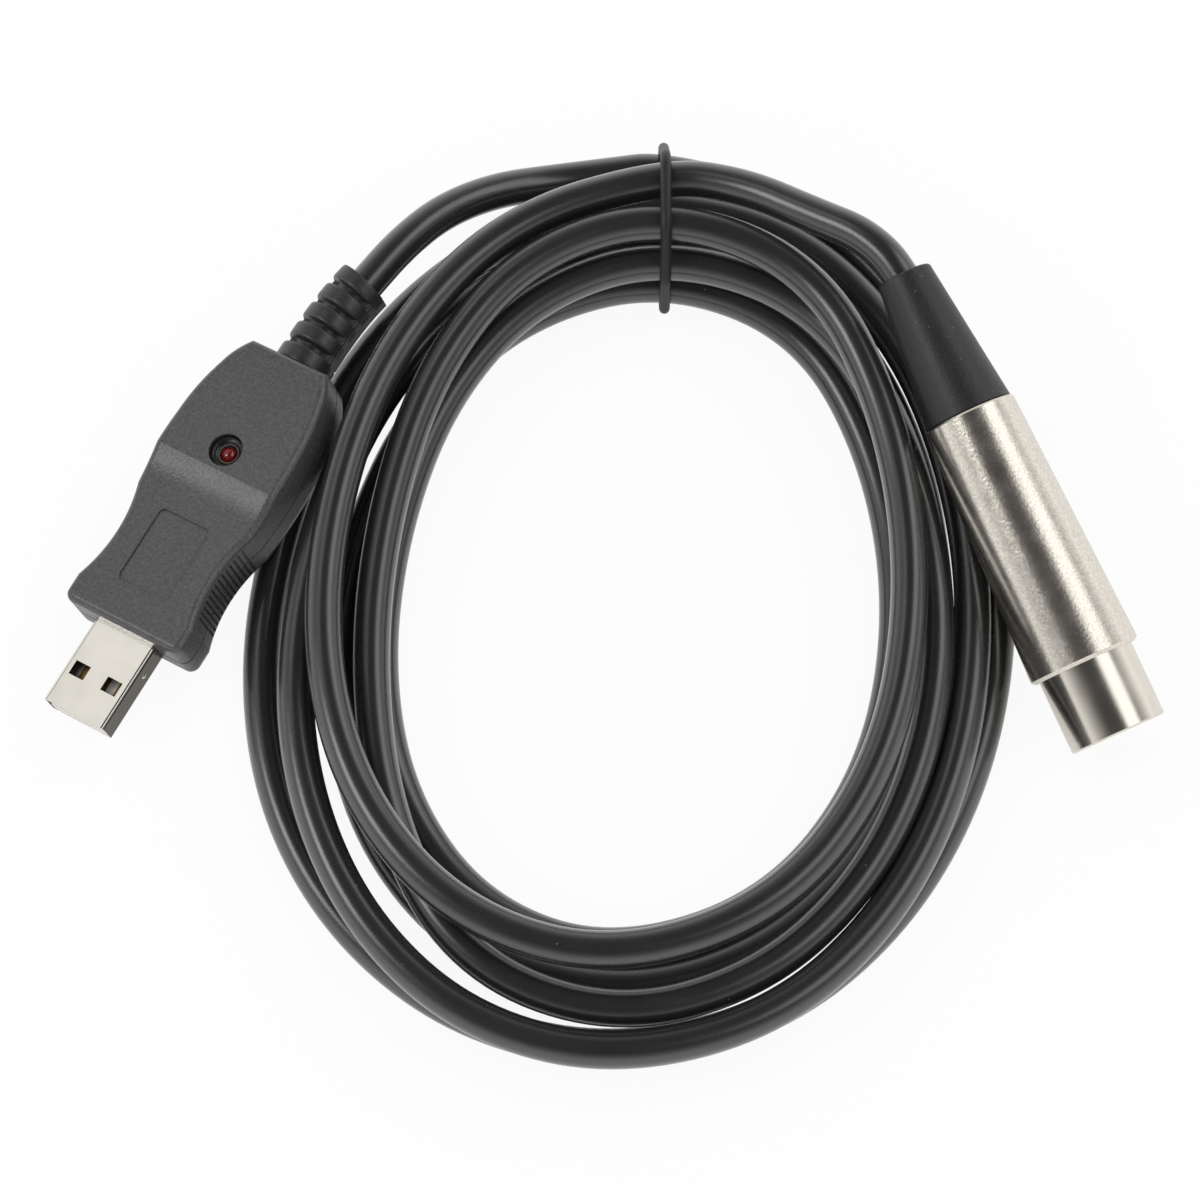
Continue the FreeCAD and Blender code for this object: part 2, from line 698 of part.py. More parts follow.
def cable_clamp():
    """A slotted collet round the jacket, held between the boot's spigot and the sleeve."""
    body = revolve(new_body("xlr_cable_clamp"), [
        ("Places.clamp_front", "Places.boot_bore"),
        ("Places.clamp_front", "Places.spigot_radius - Sizes.clamp_slot"),
        ("Places.clamp_front - Sizes.clamp_slot", "Places.spigot_radius"),
        ("Places.spigot_front", "Places.spigot_radius"),
        ("Places.spigot_front", "Places.boot_bore"),
    ])
    slots = new_sketch(body, "YZ_Plane", "clamp_slots", lift="Places.clamp_front")
    rectangle(slots, "-Places.sleeve_bore", "Places.sleeve_bore",
              "-Sizes.clamp_slot / 2", "Sizes.clamp_slot / 2")
    pocket(body, slots, depth="Sizes.clamp_slot_depth")
    body.Placement = SOCKET
    return body


# Computer plug

def plug_shell():
    """A folded steel tube with two windows above and two below."""
    body = new_body("usb_plug_shell")
    section = new_sketch(body, "YZ_Plane", "shell_section", lift="-Sizes.shell_in")
    for inset, corner in (("0", "Sizes.shell_corner"),
                          ("Sizes.shell_wall", "(Sizes.shell_corner - Sizes.shell_wall)")):
        wide = f"(Places.shell_half_width - {inset})"
        tall = f"(Places.shell_half_height - {inset})"
        rounded_rectangle(section, f"-{wide}", wide, f"-{tall}", tall, corner)
    pad(body, section, "Sizes.shell_in + Sizes.shell_out")
    windows = new_sketch(body, "XY_Plane", "shell_windows")
    for side in ("-", ""):
        middle = f"{side}Sizes.window_spread / 2"
        rectangle(windows, "Sizes.window_place - Sizes.window_length / 2",
                  "Sizes.window_place + Sizes.window_length / 2",
                  f"{middle} - Sizes.window_width / 2", f"{middle} + Sizes.window_width / 2")
    pocket(body, windows, midplane=True)
    body.Placement = PLUG
    return body


CONTACT_LINES = [
    "-Sizes.outer_contact_spread / 2",
    "-Sizes.inner_contact_spread / 2",
    "Sizes.inner_contact_spread / 2",
    "Sizes.outer_contact_spread / 2",
]


def plug_tongue():
    """The white insulator: a block that fills the shell's back and a tongue along its floor."""
    body = new_body("usb_plug_insulator")
    side = new_sketch(body, "XZ_Plane", "tongue_side")
    outline(side, [
        ("-Sizes.shell_in", "Places.tongue_bottom"),
        ("Sizes.shell_out - Sizes.tongue_setback", "Places.tongue_bottom"),
        ("Sizes.shell_out - Sizes.tongue_setback", "Places.tongue_top - Sizes.edge_break"),
        ("Sizes.shell_out - Sizes.tongue_setback - Sizes.edge_break", "Places.tongue_top"),
        ("Sizes.tongue_block", "Places.tongue_top"),
        ("Sizes.tongue_block", "-Places.tongue_bottom"),
        ("-Sizes.shell_in", "-Places.tongue_bottom"),
    ])
    pad(body, side, "2 * Places.tongue_half_width", midplane=True)
    wall = -place("tongue_bottom")
    round_edges(body, lambda edge, middle: edge.BoundBox.XLength > size("shell_in")
                and abs(abs(middle.z) - wall) < size("slip_fit"), "Sizes.shell_corner", "tongue_corners")
    grooves = new_sketch(body, "YZ_Plane", "contact_grooves", lift="Sizes.shell_out - Sizes.contact_setback")
    for line in CONTACT_LINES:
        rectangle(grooves, f"{line} - Sizes.contact_width / 2", f"{line} + Sizes.contact_width / 2",
                  "Places.contact_bottom", "Places.tongue_top")
    pocket(body, grooves)
    body.Placement = PLUG
    return body


def plug_contact(index):
    body = new_body(f"usb_contact_{index}")
    side = new_sketch(body, "XY_Plane", f"contact_{index}_plan", lift="Places.contact_bottom")
    line = CONTACT_LINES[index - 1]
    rectangle(side, "-(Sizes.shell_in + Sizes.contact_tail)", "Sizes.shell_out - Sizes.contact_setback",
              f"{line} - Sizes.contact_width / 2", f"{line} + Sizes.contact_width / 2")
    pad(body, side, "Sizes.contact_thickness")
    body.Placement = PLUG
    return body


def housing_plan(sketch, inset="0"):
    """The housing seen from above: a square front, a hollow waist for the fingers and a swelling belly."""
    corner = f"(Sizes.front_corner_round - {inset})"
    waist = f"(Places.waist_radius + {inset})"
    front = f"(Sizes.front_half_width - {inset})"
    belly = f"(Sizes.belly_half_width - {inset})"
    shoulder = f"(Sizes.shoulder_half_width - {inset})"
    back = f"(Sizes.back_half_width - {inset})"
    outline(sketch, [
        (f"-{inset}", f"{front} - {corner}"),
        (f"-{inset} - {corner}", front, corner, 1),
        ("-Sizes.front_flat", front),
        ("-Sizes.belly_start", front, waist, -1),
        ("Places.belly_place", belly, "Sizes.belly_radius", 1),
        ("Places.shoulder_place", shoulder, "Sizes.flank_radius", 1),
        (f"Places.housing_back + {inset}", back, "Sizes.shoulder_radius", 1),
        (f"Places.housing_back + {inset}", f"-{back}"),
        ("Places.shoulder_place", f"-{shoulder}", "Sizes.shoulder_radius", 1),
        ("Places.belly_place", f"-{belly}", "Sizes.flank_radius", 1),
        ("-Sizes.belly_start", f"-{front}", "Sizes.belly_radius", 1),
        ("-Sizes.front_flat", f"-{front}", waist, -1),
        (f"-{inset} - {corner}", f"-{front}"),
        (f"-{inset}", f"-({front} - {corner})", corner, 1),
    ])


def cavity_plan(sketch):
    """The room inside both halves, one wall in from the outside."""
    wall = "Sizes.housing_wall"
    right = [
        (f"-{wall}", f"Sizes.waist_half_width - {wall}"),
        ("Places.waist_centre", f"Sizes.waist_half_width - {wall}"),
        ("-Sizes.belly_start", f"Sizes.front_half_width - {wall}"),
        ("Places.belly_place", f"Sizes.front_half_width - {wall}"),
        ("Places.shoulder_place", f"Sizes.shoulder_half_width - 1.4 * {wall}"),
        ("Places.cavity_back", f"Sizes.back_half_width - {wall}"),
    ]
    left = [(along, f"-({across})") for along, across in reversed(right)]
    outline(sketch, right + left)


def soften_kinks(body, name):
    """Rounds the upright edges where the waist meets the flats and where the back is cut off."""
    back = place("housing_back")
    waist_back = -size("belly_start") - 0.5
    waist_front = -size("front_flat") + 0.5
    round_edges(body, lambda edge, middle: edge.BoundBox.ZLength > 1 and edge.BoundBox.XLength < 0.01
                and (middle.x < back + 0.5 or waist_back < middle.x < waist_front),
                "Sizes.kink_round", name)


def front_opening(body, name):
    opening = new_sketch(body, "YZ_Plane", name, lift="Sizes.slip_fit")
    wide = "(Places.shell_half_width + Sizes.slip_fit)"
    tall = "(Places.shell_half_height + Sizes.slip_fit)"
    rectangle(opening, f"-{wide}", wide, f"-{tall}", tall)
    pocket(body, opening, depth="2 * Sizes.housing_wall")


def back_opening(body, name):
    opening = new_sketch(body, "YZ_Plane", name, lift="Places.housing_back - Sizes.slip_fit")
    circle(opening, "0", "0", "Places.neck_radius + Sizes.slip_fit")
    pocket(body, opening, depth="2 * Sizes.housing_wall", reverse=True)


def finger_ribs(body, name):
    """Short grooves across both hollow sides, spaced round the hollow's own centre."""
    turn = "Sizes.rib_span / Places.waist_radius * 180 deg / pi"
    for side, label in ((1, "right"), (-1, "left")):
        sketch = new_sketch(body, "XY_Plane", f"{name}_{label}_rib")
        sketch.setExpression("AttachmentOffset.Base.x", "Places.waist_centre")
        sketch.setExpression("AttachmentOffset.Base.y", f"{side} * Places.waist_centre_across")
        sketch.setExpression("AttachmentOffset.Rotation.Angle", f"{-side} * ({turn}) / 2")
        near = "(Places.waist_radius + Sizes.rib_depth)"
        far = "(Places.waist_radius - 2 * Sizes.rib_depth)"
        low, high = (f"-{near}", f"-{far}") if side > 0 else (far, near)
        rectangle(sketch, "-Sizes.rib_gap / 2", "Sizes.rib_gap / 2", low, high)
        groove = pocket(body, sketch, depth="2 * Sizes.rib_reach", midplane=True)
        ring = body.newObject("PartDesign::PolarPattern", f"{name}_{label}_ribs")
        ring.Originals = [groove]
        ring.Axis = (sketch, ["N_Axis"])
        ring.setExpression("Angle", turn)
        ring.setExpression("Occurrences", "Sizes.rib_count")
        body.Tip = ring
        doc.recompute()


def is_rim_of_top(edge, middle):
    """Whether an edge runs round the top, and isn't a crease from flank to flank."""
    near = size("edge_break")
    crease = abs(middle.y) < near and place("housing_back") + near < middle.x < -near
    return edge.BoundBox.ZMin > place("flank_top") and not crease


def seam_step(body, name, reverse=False):
    """Steps the outside back where the two halves meet, so that the joint shows as a fine line."""
    ring = new_sketch(body, "XY_Plane", name)
    around = "2 * Sizes.housing_length"
    rectangle(ring, f"-{around}", around, f"-{around}", around)
    housing_plan(ring, inset="Sizes.seam_width")
    pocket(body, ring, depth="Sizes.seam_depth", reverse=reverse)


def housing_top():
    """The upper half: a low front with a bare recessed panel, a ramp, a crown with the light's dish."""
    body = new_body("usb_housing_top")
    plan = new_sketch(body, "XY_Plane", "top_plan")
    housing_plan(plan)
    pad(body, plan, "Sizes.housing_crease_above + 1")
    above = new_sketch(body, "XZ_Plane", "top_line")
    outline(above, [
        ("5", "Sizes.housing_front_above"),
        ("-Sizes.ramp_start", "Sizes.housing_front_above"),
        ("-Sizes.crease_place", "Sizes.housing_crease_above", "Places.ramp_radius", -1),
        ("Places.housing_back - 1", "Sizes.housing_back_above", "Sizes.crown_radius", 1),
        ("Places.housing_back - 1", "2 * Sizes.housing_crease_above"),
        ("5", "2 * Sizes.housing_crease_above"),
    ])
    pocket(body, above, midplane=True)
    round_edges(body, is_rim_of_top, "Sizes.top_edge_round", "top_edges")
    seam_step(body, "top_seam", reverse=True)
    room = new_sketch(body, "XY_Plane", "top_room")
    cavity_plan(room)
    pocket(body, room, depth="Sizes.housing_front_above - Sizes.housing_wall", reverse=True)
    front_opening(body, "top_front_opening")
    back_opening(body, "top_back_opening")
    dish = new_sketch(body, "XY_Plane", "light_dish",
                      lift="Sizes.housing_crease_above - Sizes.led_recess_depth")
    circle(dish, "-Sizes.led_place", "0", "Sizes.led_recess_diameter / 2")
    pocket(body, dish, reverse=True)
    hole = new_sketch(body, "XY_Plane", "light_hole")
    circle(hole, "-Sizes.led_place", "0", "Sizes.led_diameter / 2 + Sizes.slip_fit")
    pocket(body, hole, reverse=True)
    panel = new_sketch(body, "XY_Plane", "bare_panel", lift="Sizes.housing_front_above - Sizes.panel_depth")
    rounded_rectangle(panel, "-Sizes.panel_back", "-Sizes.panel_front",
                      "-Sizes.panel_half_width", "Sizes.panel_half_width", "Sizes.panel_corner")
    pocket(body, panel, reverse=True)
    finger_ribs(body, "top")
    body.Placement = PLUG
    return body


def housing_bottom():
    """The lower half, with four posts under the circuit board."""
    body = new_body("usb_housing_bottom")
    plan = new_sketch(body, "XY_Plane", "bottom_plan")
    housing_plan(plan)
    pad(body, plan, "Sizes.housing_below", reverse=True)
    soften_kinks(body, "bottom_kinks")
    round_edges(body, lambda edge, middle: edge.BoundBox.ZMax < place("cavity_floor"),
                "Sizes.low_edge_round", "low_edges")
    seam_step(body, "bottom_seam")
    room = new_sketch(body, "XY_Plane", "bottom_room")
    cavity_plan(room)
    pocket(body, room, depth="Sizes.housing_below - Sizes.housing_wall")
    front_opening(body, "bottom_front_opening")
    back_opening(body, "bottom_back_opening")
    posts = new_sketch(body, "XY_Plane", "board_posts", lift="Places.cavity_floor")
    for along in ("-Sizes.post_front", "Places.board_back + Sizes.post_setback"):
        for side in ("-", ""):
            circle(posts, along, f"{side}Sizes.post_spread / 2", "Sizes.post_diameter / 2")
    pad(body, posts, "Places.board_bottom - Places.cavity_floor")
    finger_ribs(body, "bottom")
    body.Placement = PLUG
    return body


def light():
    """A round light: domed top, straight body and a wider flange at its foot."""
    body = new_body("usb_led")
    sketch = new_sketch(body, "XZ_Plane", "light_profile")
    outline(sketch, [
        ("0", "Places.led_bottom"),
        ("Sizes.led_flange_diameter / 2", "Places.led_bottom"),
        ("Sizes.led_flange_diameter / 2", "Places.led_bottom + Sizes.led_flange_thickness"),
        ("Sizes.led_diameter / 2", "Places.led_bottom + Sizes.led_flange_thickness"),
        ("Sizes.led_diameter / 2", "Sizes.led_top_height - Sizes.led_diameter / 2"),
        ("0", "Sizes.led_top_height", "Sizes.led_diameter / 2", 1),
    ])
    feature = body.newObject("PartDesign::Revolution", "light_turned")
    feature.Profile = sketch
    feature.ReferenceAxis = (sketch, ["V_Axis"])
    feature.Angle = 360.0
    body.Tip = feature
    body.Placement = PLUG.multiply(Placement(Vector(-size("led_place"), 0, 0), Rotation()))
    return body


def box_on_board(label, length, width, height, along, across, lift="Places.contact_bottom"):
    body = new_body(label)
    plan = new_sketch(body, "XY_Plane", label + "_plan", lift=lift)
    rectangle(plan, f"{along} - {length} / 2", f"{along} + {length} / 2",
              f"{across} - {width} / 2", f"{across} + {width} / 2")
    pad(body, plan, height)
    body.Placement = PLUG
    return body


def light_lead(index):
    side = {1: "-", 2: ""}[index]
    return box_on_board(f"usb_led_lead_{index}", "Sizes.led_lead_width", "Sizes.led_lead_width",
                        "Places.led_bottom - Places.contact_bottom",
                        f"-Sizes.led_place + {side}Sizes.led_lead_spread / 2", "0")


def circuit_board():
    middle = "(Places.board_front + Places.board_back) / 2"
    return box_on_board("usb_circuit_board", "(Places.board_front - Places.board_back)",
                        "Sizes.board_width", "Sizes.board_thickness",
                        middle, "0", lift="Places.board_bottom")


def converter_chip():
    """A flat package on two rows of legs."""
    body = new_body("usb_converter_chip")
    package = new_sketch(body, "XY_Plane", "chip_plan", lift="Places.contact_bottom + Sizes.leg_width / 3")
    rectangle(package,
              "-(Sizes.chip_place + Sizes.chip_length / 2)", "-(Sizes.chip_place - Sizes.chip_length / 2)",
              "-Sizes.chip_width / 2", "Sizes.chip_width / 2")
    pad(body, package, "Sizes.chip_height")
    legs = new_sketch(body, "XY_Plane", "chip_legs", lift="Places.contact_bottom")
    first = "-(Sizes.chip_place + (Sizes.leg_count - 1) * Sizes.leg_pitch / 2)"
    reach = "Sizes.chip_width / 2 + Sizes.leg_reach"
    rectangle(legs, f"{first} - Sizes.leg_width / 2", f"{first} + Sizes.leg_width / 2", f"-({reach})", reach)
    feet = pad(body, legs, "Sizes.leg_width")
    pattern(body, feet, "(Sizes.leg_count - 1) * Sizes.leg_pitch", "Sizes.leg_count")
    body.Placement = PLUG
    return body


def crystal():
    """A flat can with round ends, lying across the board."""
    body = new_body("usb_crystal")
    plan = new_sketch(body, "XY_Plane", "crystal_plan", lift="Places.contact_bottom")
    bend = "(Sizes.crystal_width / 2)"
    front = f"-Sizes.crystal_place + {bend}"
    back = f"-Sizes.crystal_place - {bend}"
    reach = f"(Sizes.crystal_length / 2 - {bend})"
    outline(plan, [
        (front, f"-{reach}"),
        (front, reach),
        ("-Sizes.crystal_place", f"{reach} + {bend}", bend, 1),
        (back, reach, bend, 1),
        (back, f"-{reach}"),
        ("-Sizes.crystal_place", f"-({reach} + {bend})", bend, 1),
    ][1:] + [(front, f"-{reach}", bend, 1)])
    pad(body, plan, "Sizes.crystal_height")
    body.Placement = PLUG
    return body


def capacitor(index):
    side = {1: "-", 2: ""}[index]
    return box_on_board(f"usb_capacitor_{index}", "Sizes.capacitor_length", "Sizes.capacitor_width",
                        "Sizes.capacitor_height", "Places.board_back + Sizes.capacitor_setback",
                        f"{side}Sizes.capacitor_spread / 2")


def strain_relief():
    """A sleeve bonded to the cable: flange and neck in the housing, a collar, ribs and two side rails."""
    corners = [
        ("Places.flange_front", "Places.relief_bore"),
        ("Places.flange_front", "Places.core_radius"),
        ("Places.flange_front - Sizes.flange_thickness", "Places.core_radius"),
        ("Places.flange_front - Sizes.flange_thickness", "Places.neck_radius"),
        ("Places.housing_back", "Places.neck_radius"),
        ("Places.housing_back", "Sizes.collar_diameter / 2"),
        ("Places.housing_back - Sizes.collar_length", "Sizes.collar_diameter / 2"),
        ("Places.housing_back - Sizes.collar_length", "Places.core_radius"),
    ]
    count = int(size("relief_rib_count"))
    for rib in range(count):
        front = f"Places.housing_back - Sizes.relief_rib_first - {rib} * Sizes.relief_rib_pitch"
        corners += [
            (front, "Places.core_radius"),
            (front, "Sizes.relief_rib_diameter / 2"),
            (f"{front} - Sizes.relief_rib_width", "Sizes.relief_rib_diameter / 2"),
        ]
        if rib < count - 1:
            corners.append((f"{front} - Sizes.relief_rib_width", "Places.core_radius"))
    corners.append(("Places.relief_back", "Places.relief_bore"))
    body = revolve(new_body("usb_strain_relief"), corners)
    rails = new_sketch(body, "XY_Plane", "relief_rails")
    inner = "Places.relief_bore + Sizes.edge_break"
    front = "Places.housing_back - Sizes.collar_length"
    rectangle(rails, "Places.relief_back", front, inner, "Sizes.relief_rail_half_width")
    rectangle(rails, "Places.relief_back", front, "-Sizes.relief_rail_half_width", f"-({inner})")
    pad(body, rails, "Sizes.relief_rail_height", midplane=True)
    body.Placement = PLUG
    return body


# Cable, tie and wires

def unit(vector):
    return vector * (1 / vector.Length)


def arc_edge(start, corner, end):
    """The arc that leaves start towards the corner and reaches end from it."""
    middle = (start + end) * 0.5
    half_chord = (end - start).Length / 2
    side = corner - middle
    if side.Length < 1e-6:
        return Part.LineSegment(start, end)
    half_turn = math.atan2(side.Length, half_chord)
    return Part.Arc(start, middle + unit(side) * half_chord * math.tan(half_turn / 2), end)


def biarc(start, heading, end, last_heading):
    """Two arcs with equal legs that join two points with the given headings."""
    step = end - start
    total = heading + last_heading
    bend = 2 * (1 - heading.dot(last_heading))
    if bend < 1e-9:
        leg = step.dot(step) / (4 * step.dot(heading))
    else:
        leg = (math.sqrt(step.dot(total) ** 2 + bend * step.dot(step)) - step.dot(total)) / bend
    corners = (start + heading * leg, end - last_heading * leg)
    joint = (corners[0] + corners[1]) * 0.5
    return [arc_edge(start, corners[0], joint), arc_edge(joint, corners[1], end)]


def tube(label, curves, diameter):
    """A round tube along a chain of lines and arcs; its volume is compared with section times length."""
    edges = [curve.toShape() for curve in curves]
    path = Part.Wire(edges)
    first = edges[0]
    start = first.valueAt(first.FirstParameter)
    heading = first.tangentAt(first.FirstParameter)
    profile = Part.Wire([Part.Circle(start, heading, diameter / 2).toShape()])
    solid = path.makePipeShell([profile], True, False)
    wanted = math.pi * diameter ** 2 / 4 * path.Length
    if abs(solid.Volume / wanted - 1) > 0.01:
        raise RuntimeError(f"{label} has {solid.Volume:.1f} mm3 instead of {wanted:.1f} mm3")
    feature = doc.addObject("Part::Feature", label)
    feature.Label = label
    feature.Shape = solid
    return feature, path


def steady_slope(values, index):
    """The mean change round one value, none at a turning point and never more than twice either change."""
    before = values[index] - values[index - 1] if index else values[1] - values[0]
    after = values[index + 1] - values[index] if index + 1 < len(values) else before
    if before * after <= 0:
        return 0.0
    return math.copysign(min(abs(before + after) / 2, 2 * abs(before), 2 * abs(after)), before)


def direction(heading, climb):
    return Rotation(heading, -climb, 0).multVec(Vector(1, 0, 0))


def coil_points():
    """Each station crossing of each turn, with its place and heading."""
    stations = [
        (Vector(size("tie_station"), 0, 0), Vector(0, 1, 0), Vector(-1, 0, 0)),
        (Vector(0, size("left_station"), 0), Vector(-1, 0, 0), Vector(0, -1, 0)),
        (Vector(size("bottom_station"), 0, 0), Vector(0, -1, 0), Vector(1, 0, 0)),
        (Vector(0, size("right_station"), 0), Vector(1, 0, 0), Vector(0, 1, 0)),
    ]
    crossings = [crossing for turn in TURNS for crossing in turn] + [LAST_TIE_CROSSING]
    usual = [sum(turn[station][0] for turn in TURNS) / len(TURNS) for station in range(4)]
    outs = [out - usual[index % 4] for index, (out, _) in enumerate(crossings)]
    heights = [height for _, height in crossings]
    points = []
    for index, (out, height) in enumerate(crossings):
        base, outward, onward = stations[index % 4]
        drift = steady_slope(outs, index) / size("quarter_run")
        climb = steady_slope(heights, index) / size("quarter_run")
        points.append((base + outward * out + Vector(0, 0, height),
                       unit(onward + outward * drift + Vector(0, 0, climb))))
    return points


def cable_curves():
    """The whole cable, from inside the socket round the coil to inside the computer plug."""
    ahead = SOCKET.Rotation.multVec(Vector(1, 0, 0))
    inward = PLUG.Rotation.multVec(Vector(1, 0, 0))
    boot_end = SOCKET.multVec(Vector(place("boot_back"), 0, 0))
    relief_end = PLUG.multVec(Vector(place("relief_back"), 0, 0))
    free = [(Vector(*point), direction(*way)) for point, way in SOCKET_LEAD]
    free += coil_points()
    free += [(Vector(*point), direction(*way)) for point, way in PLUG_LEAD]
    route = [(boot_end, -ahead)]
    route += [(CENTRE.multVec(point), heading) for point, heading in free]
    route += [(relief_end, inward)]
    curves = [Part.LineSegment(SOCKET.multVec(Vector(place("jacket_front"), 0, 0)), boot_end)]
    for (start, heading), (end, last_heading) in zip(route, route[1:]):
        curves += biarc(start, heading, end, last_heading)
    curves.append(Part.LineSegment(relief_end, PLUG.multVec(Vector(place("jacket_end"), 0, 0))))
    return curves


def least_gap(path, diameter, step=1.6, apart=28.0):
    """The smallest clear distance between two stretches of the tube that lie apart along it."""
    points = path.discretize(Distance=step)
    spacing = path.Length / (len(points) - 1)
    skip = int(apart / spacing)
    flat = [(point.x, point.y, point.z) for point in points]
    least = min(math.dist(here, there)
                for index, here in enumerate(flat)
                for there in flat[index + skip:])
    return least - diameter


def cable():
    feature, path = tube("cable_coil", cable_curves(), size("cable_diameter"))
    gap = least_gap(path, size("cable_diameter"))
    print(f"cable length {path.Length:.1f} mm, least gap to itself {gap:.2f} mm")
    if gap < 0.4:
        raise RuntimeError("the cable's turns touch")
    return feature


def tie():
    """The elastic ring: it follows the hull of the bundle that it holds, in a plane across the cable."""
    crossings = [turn[0] for turn in TURNS] + [LAST_TIE_CROSSING]
    hull = hull_of(crossings)
    reach = (size("cable_diameter") + size("tie_wire")) / 2 + size("tie_clearance")
    station = size("tie_station")

    def spot(centre, angle):
        return CENTRE.multVec(Vector(station, centre[0] + reach * math.cos(angle),
                                     centre[1] + reach * math.sin(angle)))

    curves = []
    angles = []
    for here, there in zip(hull, hull[1:] + hull[:1]):
        angles.append(math.atan2(there[1] - here[1], there[0] - here[0]) - math.pi / 2)
    for index, centre in enumerate(hull):
        before, after = angles[index - 1], angles[index]
        while after < before:
            after += 2 * math.pi
        curves.append(Part.Arc(spot(centre, before), spot(centre, (before + after) / 2), spot(centre, after)))
        following = hull[(index + 1) % len(hull)]
        curves.append(Part.LineSegment(spot(centre, after), spot(following, after)))
    return tube("coil_tie", curves, size("tie_wire"))[0]


def hull_of(points):
    """The convex hull, anticlockwise."""
    ordered = sorted(points)
    halves = []
    for run in (ordered, ordered[::-1]):
        half = []
        for point in run:
            while len(half) > 1 and cross(half[-2], half[-1], point) <= 0:
                half.pop()
            half.append(point)
        halves.append(half[:-1])
    return halves[0] + halves[1]


def cross(origin, first, second):
    return ((first[0] - origin[0]) * (second[1] - origin[1])
            - (first[1] - origin[1]) * (second[0] - origin[0]))


def bent_wire(label, frame, start, bend_end, end, diameter):
    """A wire that leaves along the axis, shifts sideways and runs on along the axis."""
    ahead = Vector(1, 0, 0)
    curves = biarc(start, ahead, bend_end, ahead) + [Part.LineSegment(bend_end, end)]
    feature, _ = tube(label, curves, diameter)
    feature.Placement = frame
    return feature


def socket_wire(index):
    """From the jacket's end to the floor of one contact's solder cup."""
    angle = math.radians(CONTACT_ANGLES[index])
    near = size("wire_circle") / 2
    start = Vector(place("jacket_front"), near * math.cos(angle), near * math.sin(angle))
    across, up = (number(formula) for formula in contact_centre(index))
    cup_mouth = place("insert_back") - size("cup_length")
    return bent_wire(f"xlr_wire_{index}", SOCKET, start, Vector(cup_mouth, across, up),
                     Vector(place("cup_floor"), across, up), size("wire_diameter"))


def signal_wire(index):
    """From the jacket's end down onto the back of the circuit board."""
    angle = math.radians({1: 210.0, 2: 90.0, 3: 330.0}[index])
    near = size("signal_wire_circle") / 2
    start = Vector(place("jacket_end"), near * math.cos(angle), near * math.sin(angle))
    across = (index - 2) * size("signal_wire_spread")
    height = place("contact_bottom") + size("signal_wire_diameter") / 2
    bend_end = Vector(place("board_back") + size("signal_wire_diameter") / 2, across, height)
    end = Vector(place("board_back") + size("signal_wire_hold"), across, height)
    return bent_wire(f"usb_wire_{index}", PLUG, start, bend_end, end, size("signal_wire_diameter"))


def build():
    pieces = [nose_sleeve(), body_sleeve(), boot(), insert()]
    pieces += [contact(index) for index in CONTACT_ANGLES]
    pieces += [latch(), latch_pin(), latch_spring(), cable_clamp()]
    pieces += [plug_shell(), plug_tongue()]
    pieces += [plug_contact(index) for index in range(1, len(CONTACT_LINES) + 1)]
    pieces += [housing_top(), housing_bottom(), light(), light_lead(1), light_lead(2)]
    pieces += [circuit_board(), converter_chip(), crystal(), capacitor(1), capacitor(2), strain_relief()]
    pieces += [cable(), tie()]
    pieces += [socket_wire(index) for index in CONTACT_ANGLES]
    pieces += [signal_wire(index) for index in (1, 2, 3)]
    return pieces


def check(pieces):
    doc.recompute()
    for thing in doc.Objects:
        if "Invalid" in thing.State or "Error" in thing.State:
            raise RuntimeError(f"{thing.Name} failed: {thing.State}")
    for piece in pieces:
        shape = piece.Shape
        if shape.isNull() or not shape.isValid():
            raise RuntimeError(f"{piece.Label} has no valid shape")
        if len(shape.Solids) != 1:
            raise RuntimeError(f"{piece.Label} has {len(shape.Solids)} solids")


def write(pieces):
    os.makedirs("parts", exist_ok=True)
    for piece in pieces:
        piece.Shape.exportStep(f"parts/{piece.Label}.step")
    print(f"{len(pieces)} pieces written")


pieces = build()
check(pieces)
write(pieces)
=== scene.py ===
import json
import math

import bpy
import numpy as np
from bpy.props import FloatProperty, FloatVectorProperty, PointerProperty
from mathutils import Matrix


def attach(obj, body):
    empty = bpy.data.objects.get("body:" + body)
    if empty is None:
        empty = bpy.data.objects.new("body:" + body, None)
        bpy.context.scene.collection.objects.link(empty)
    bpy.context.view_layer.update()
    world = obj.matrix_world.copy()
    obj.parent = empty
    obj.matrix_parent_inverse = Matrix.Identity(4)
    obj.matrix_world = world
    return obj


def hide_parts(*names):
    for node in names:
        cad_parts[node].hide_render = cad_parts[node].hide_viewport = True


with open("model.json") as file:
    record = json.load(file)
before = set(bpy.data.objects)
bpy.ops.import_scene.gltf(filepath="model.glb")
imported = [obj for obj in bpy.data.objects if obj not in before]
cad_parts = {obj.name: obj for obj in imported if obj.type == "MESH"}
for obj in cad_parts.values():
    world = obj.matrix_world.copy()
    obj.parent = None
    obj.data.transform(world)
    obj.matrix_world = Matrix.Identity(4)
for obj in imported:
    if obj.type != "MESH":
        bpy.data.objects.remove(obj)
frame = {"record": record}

bl_info = {
    "name": "Microphone Cable Coil",
    "version": (1, 0, 0),
    "blender": (4, 5, 0),
    "location": "3D Viewport > Sidebar > Cable coil",
    "description": "Dresses a tied microphone cable with an XLR socket and a USB plug, and sets its studio",
    "category": "Object",
}

MM = 0.001


def linear(code):
    """One sRGB hex value as linear red, green and blue: the usual curve, straight below 0.04045."""
    channels = np.array([int(code[place:place + 2], 16) for place in (0, 2, 4)]) / 255
    return tuple(float(value) for value in
                 np.where(channels <= 0.04045, channels / 12.92, ((channels + 0.055) / 1.055) ** 2.4))


# Sizes and colours that a user would change

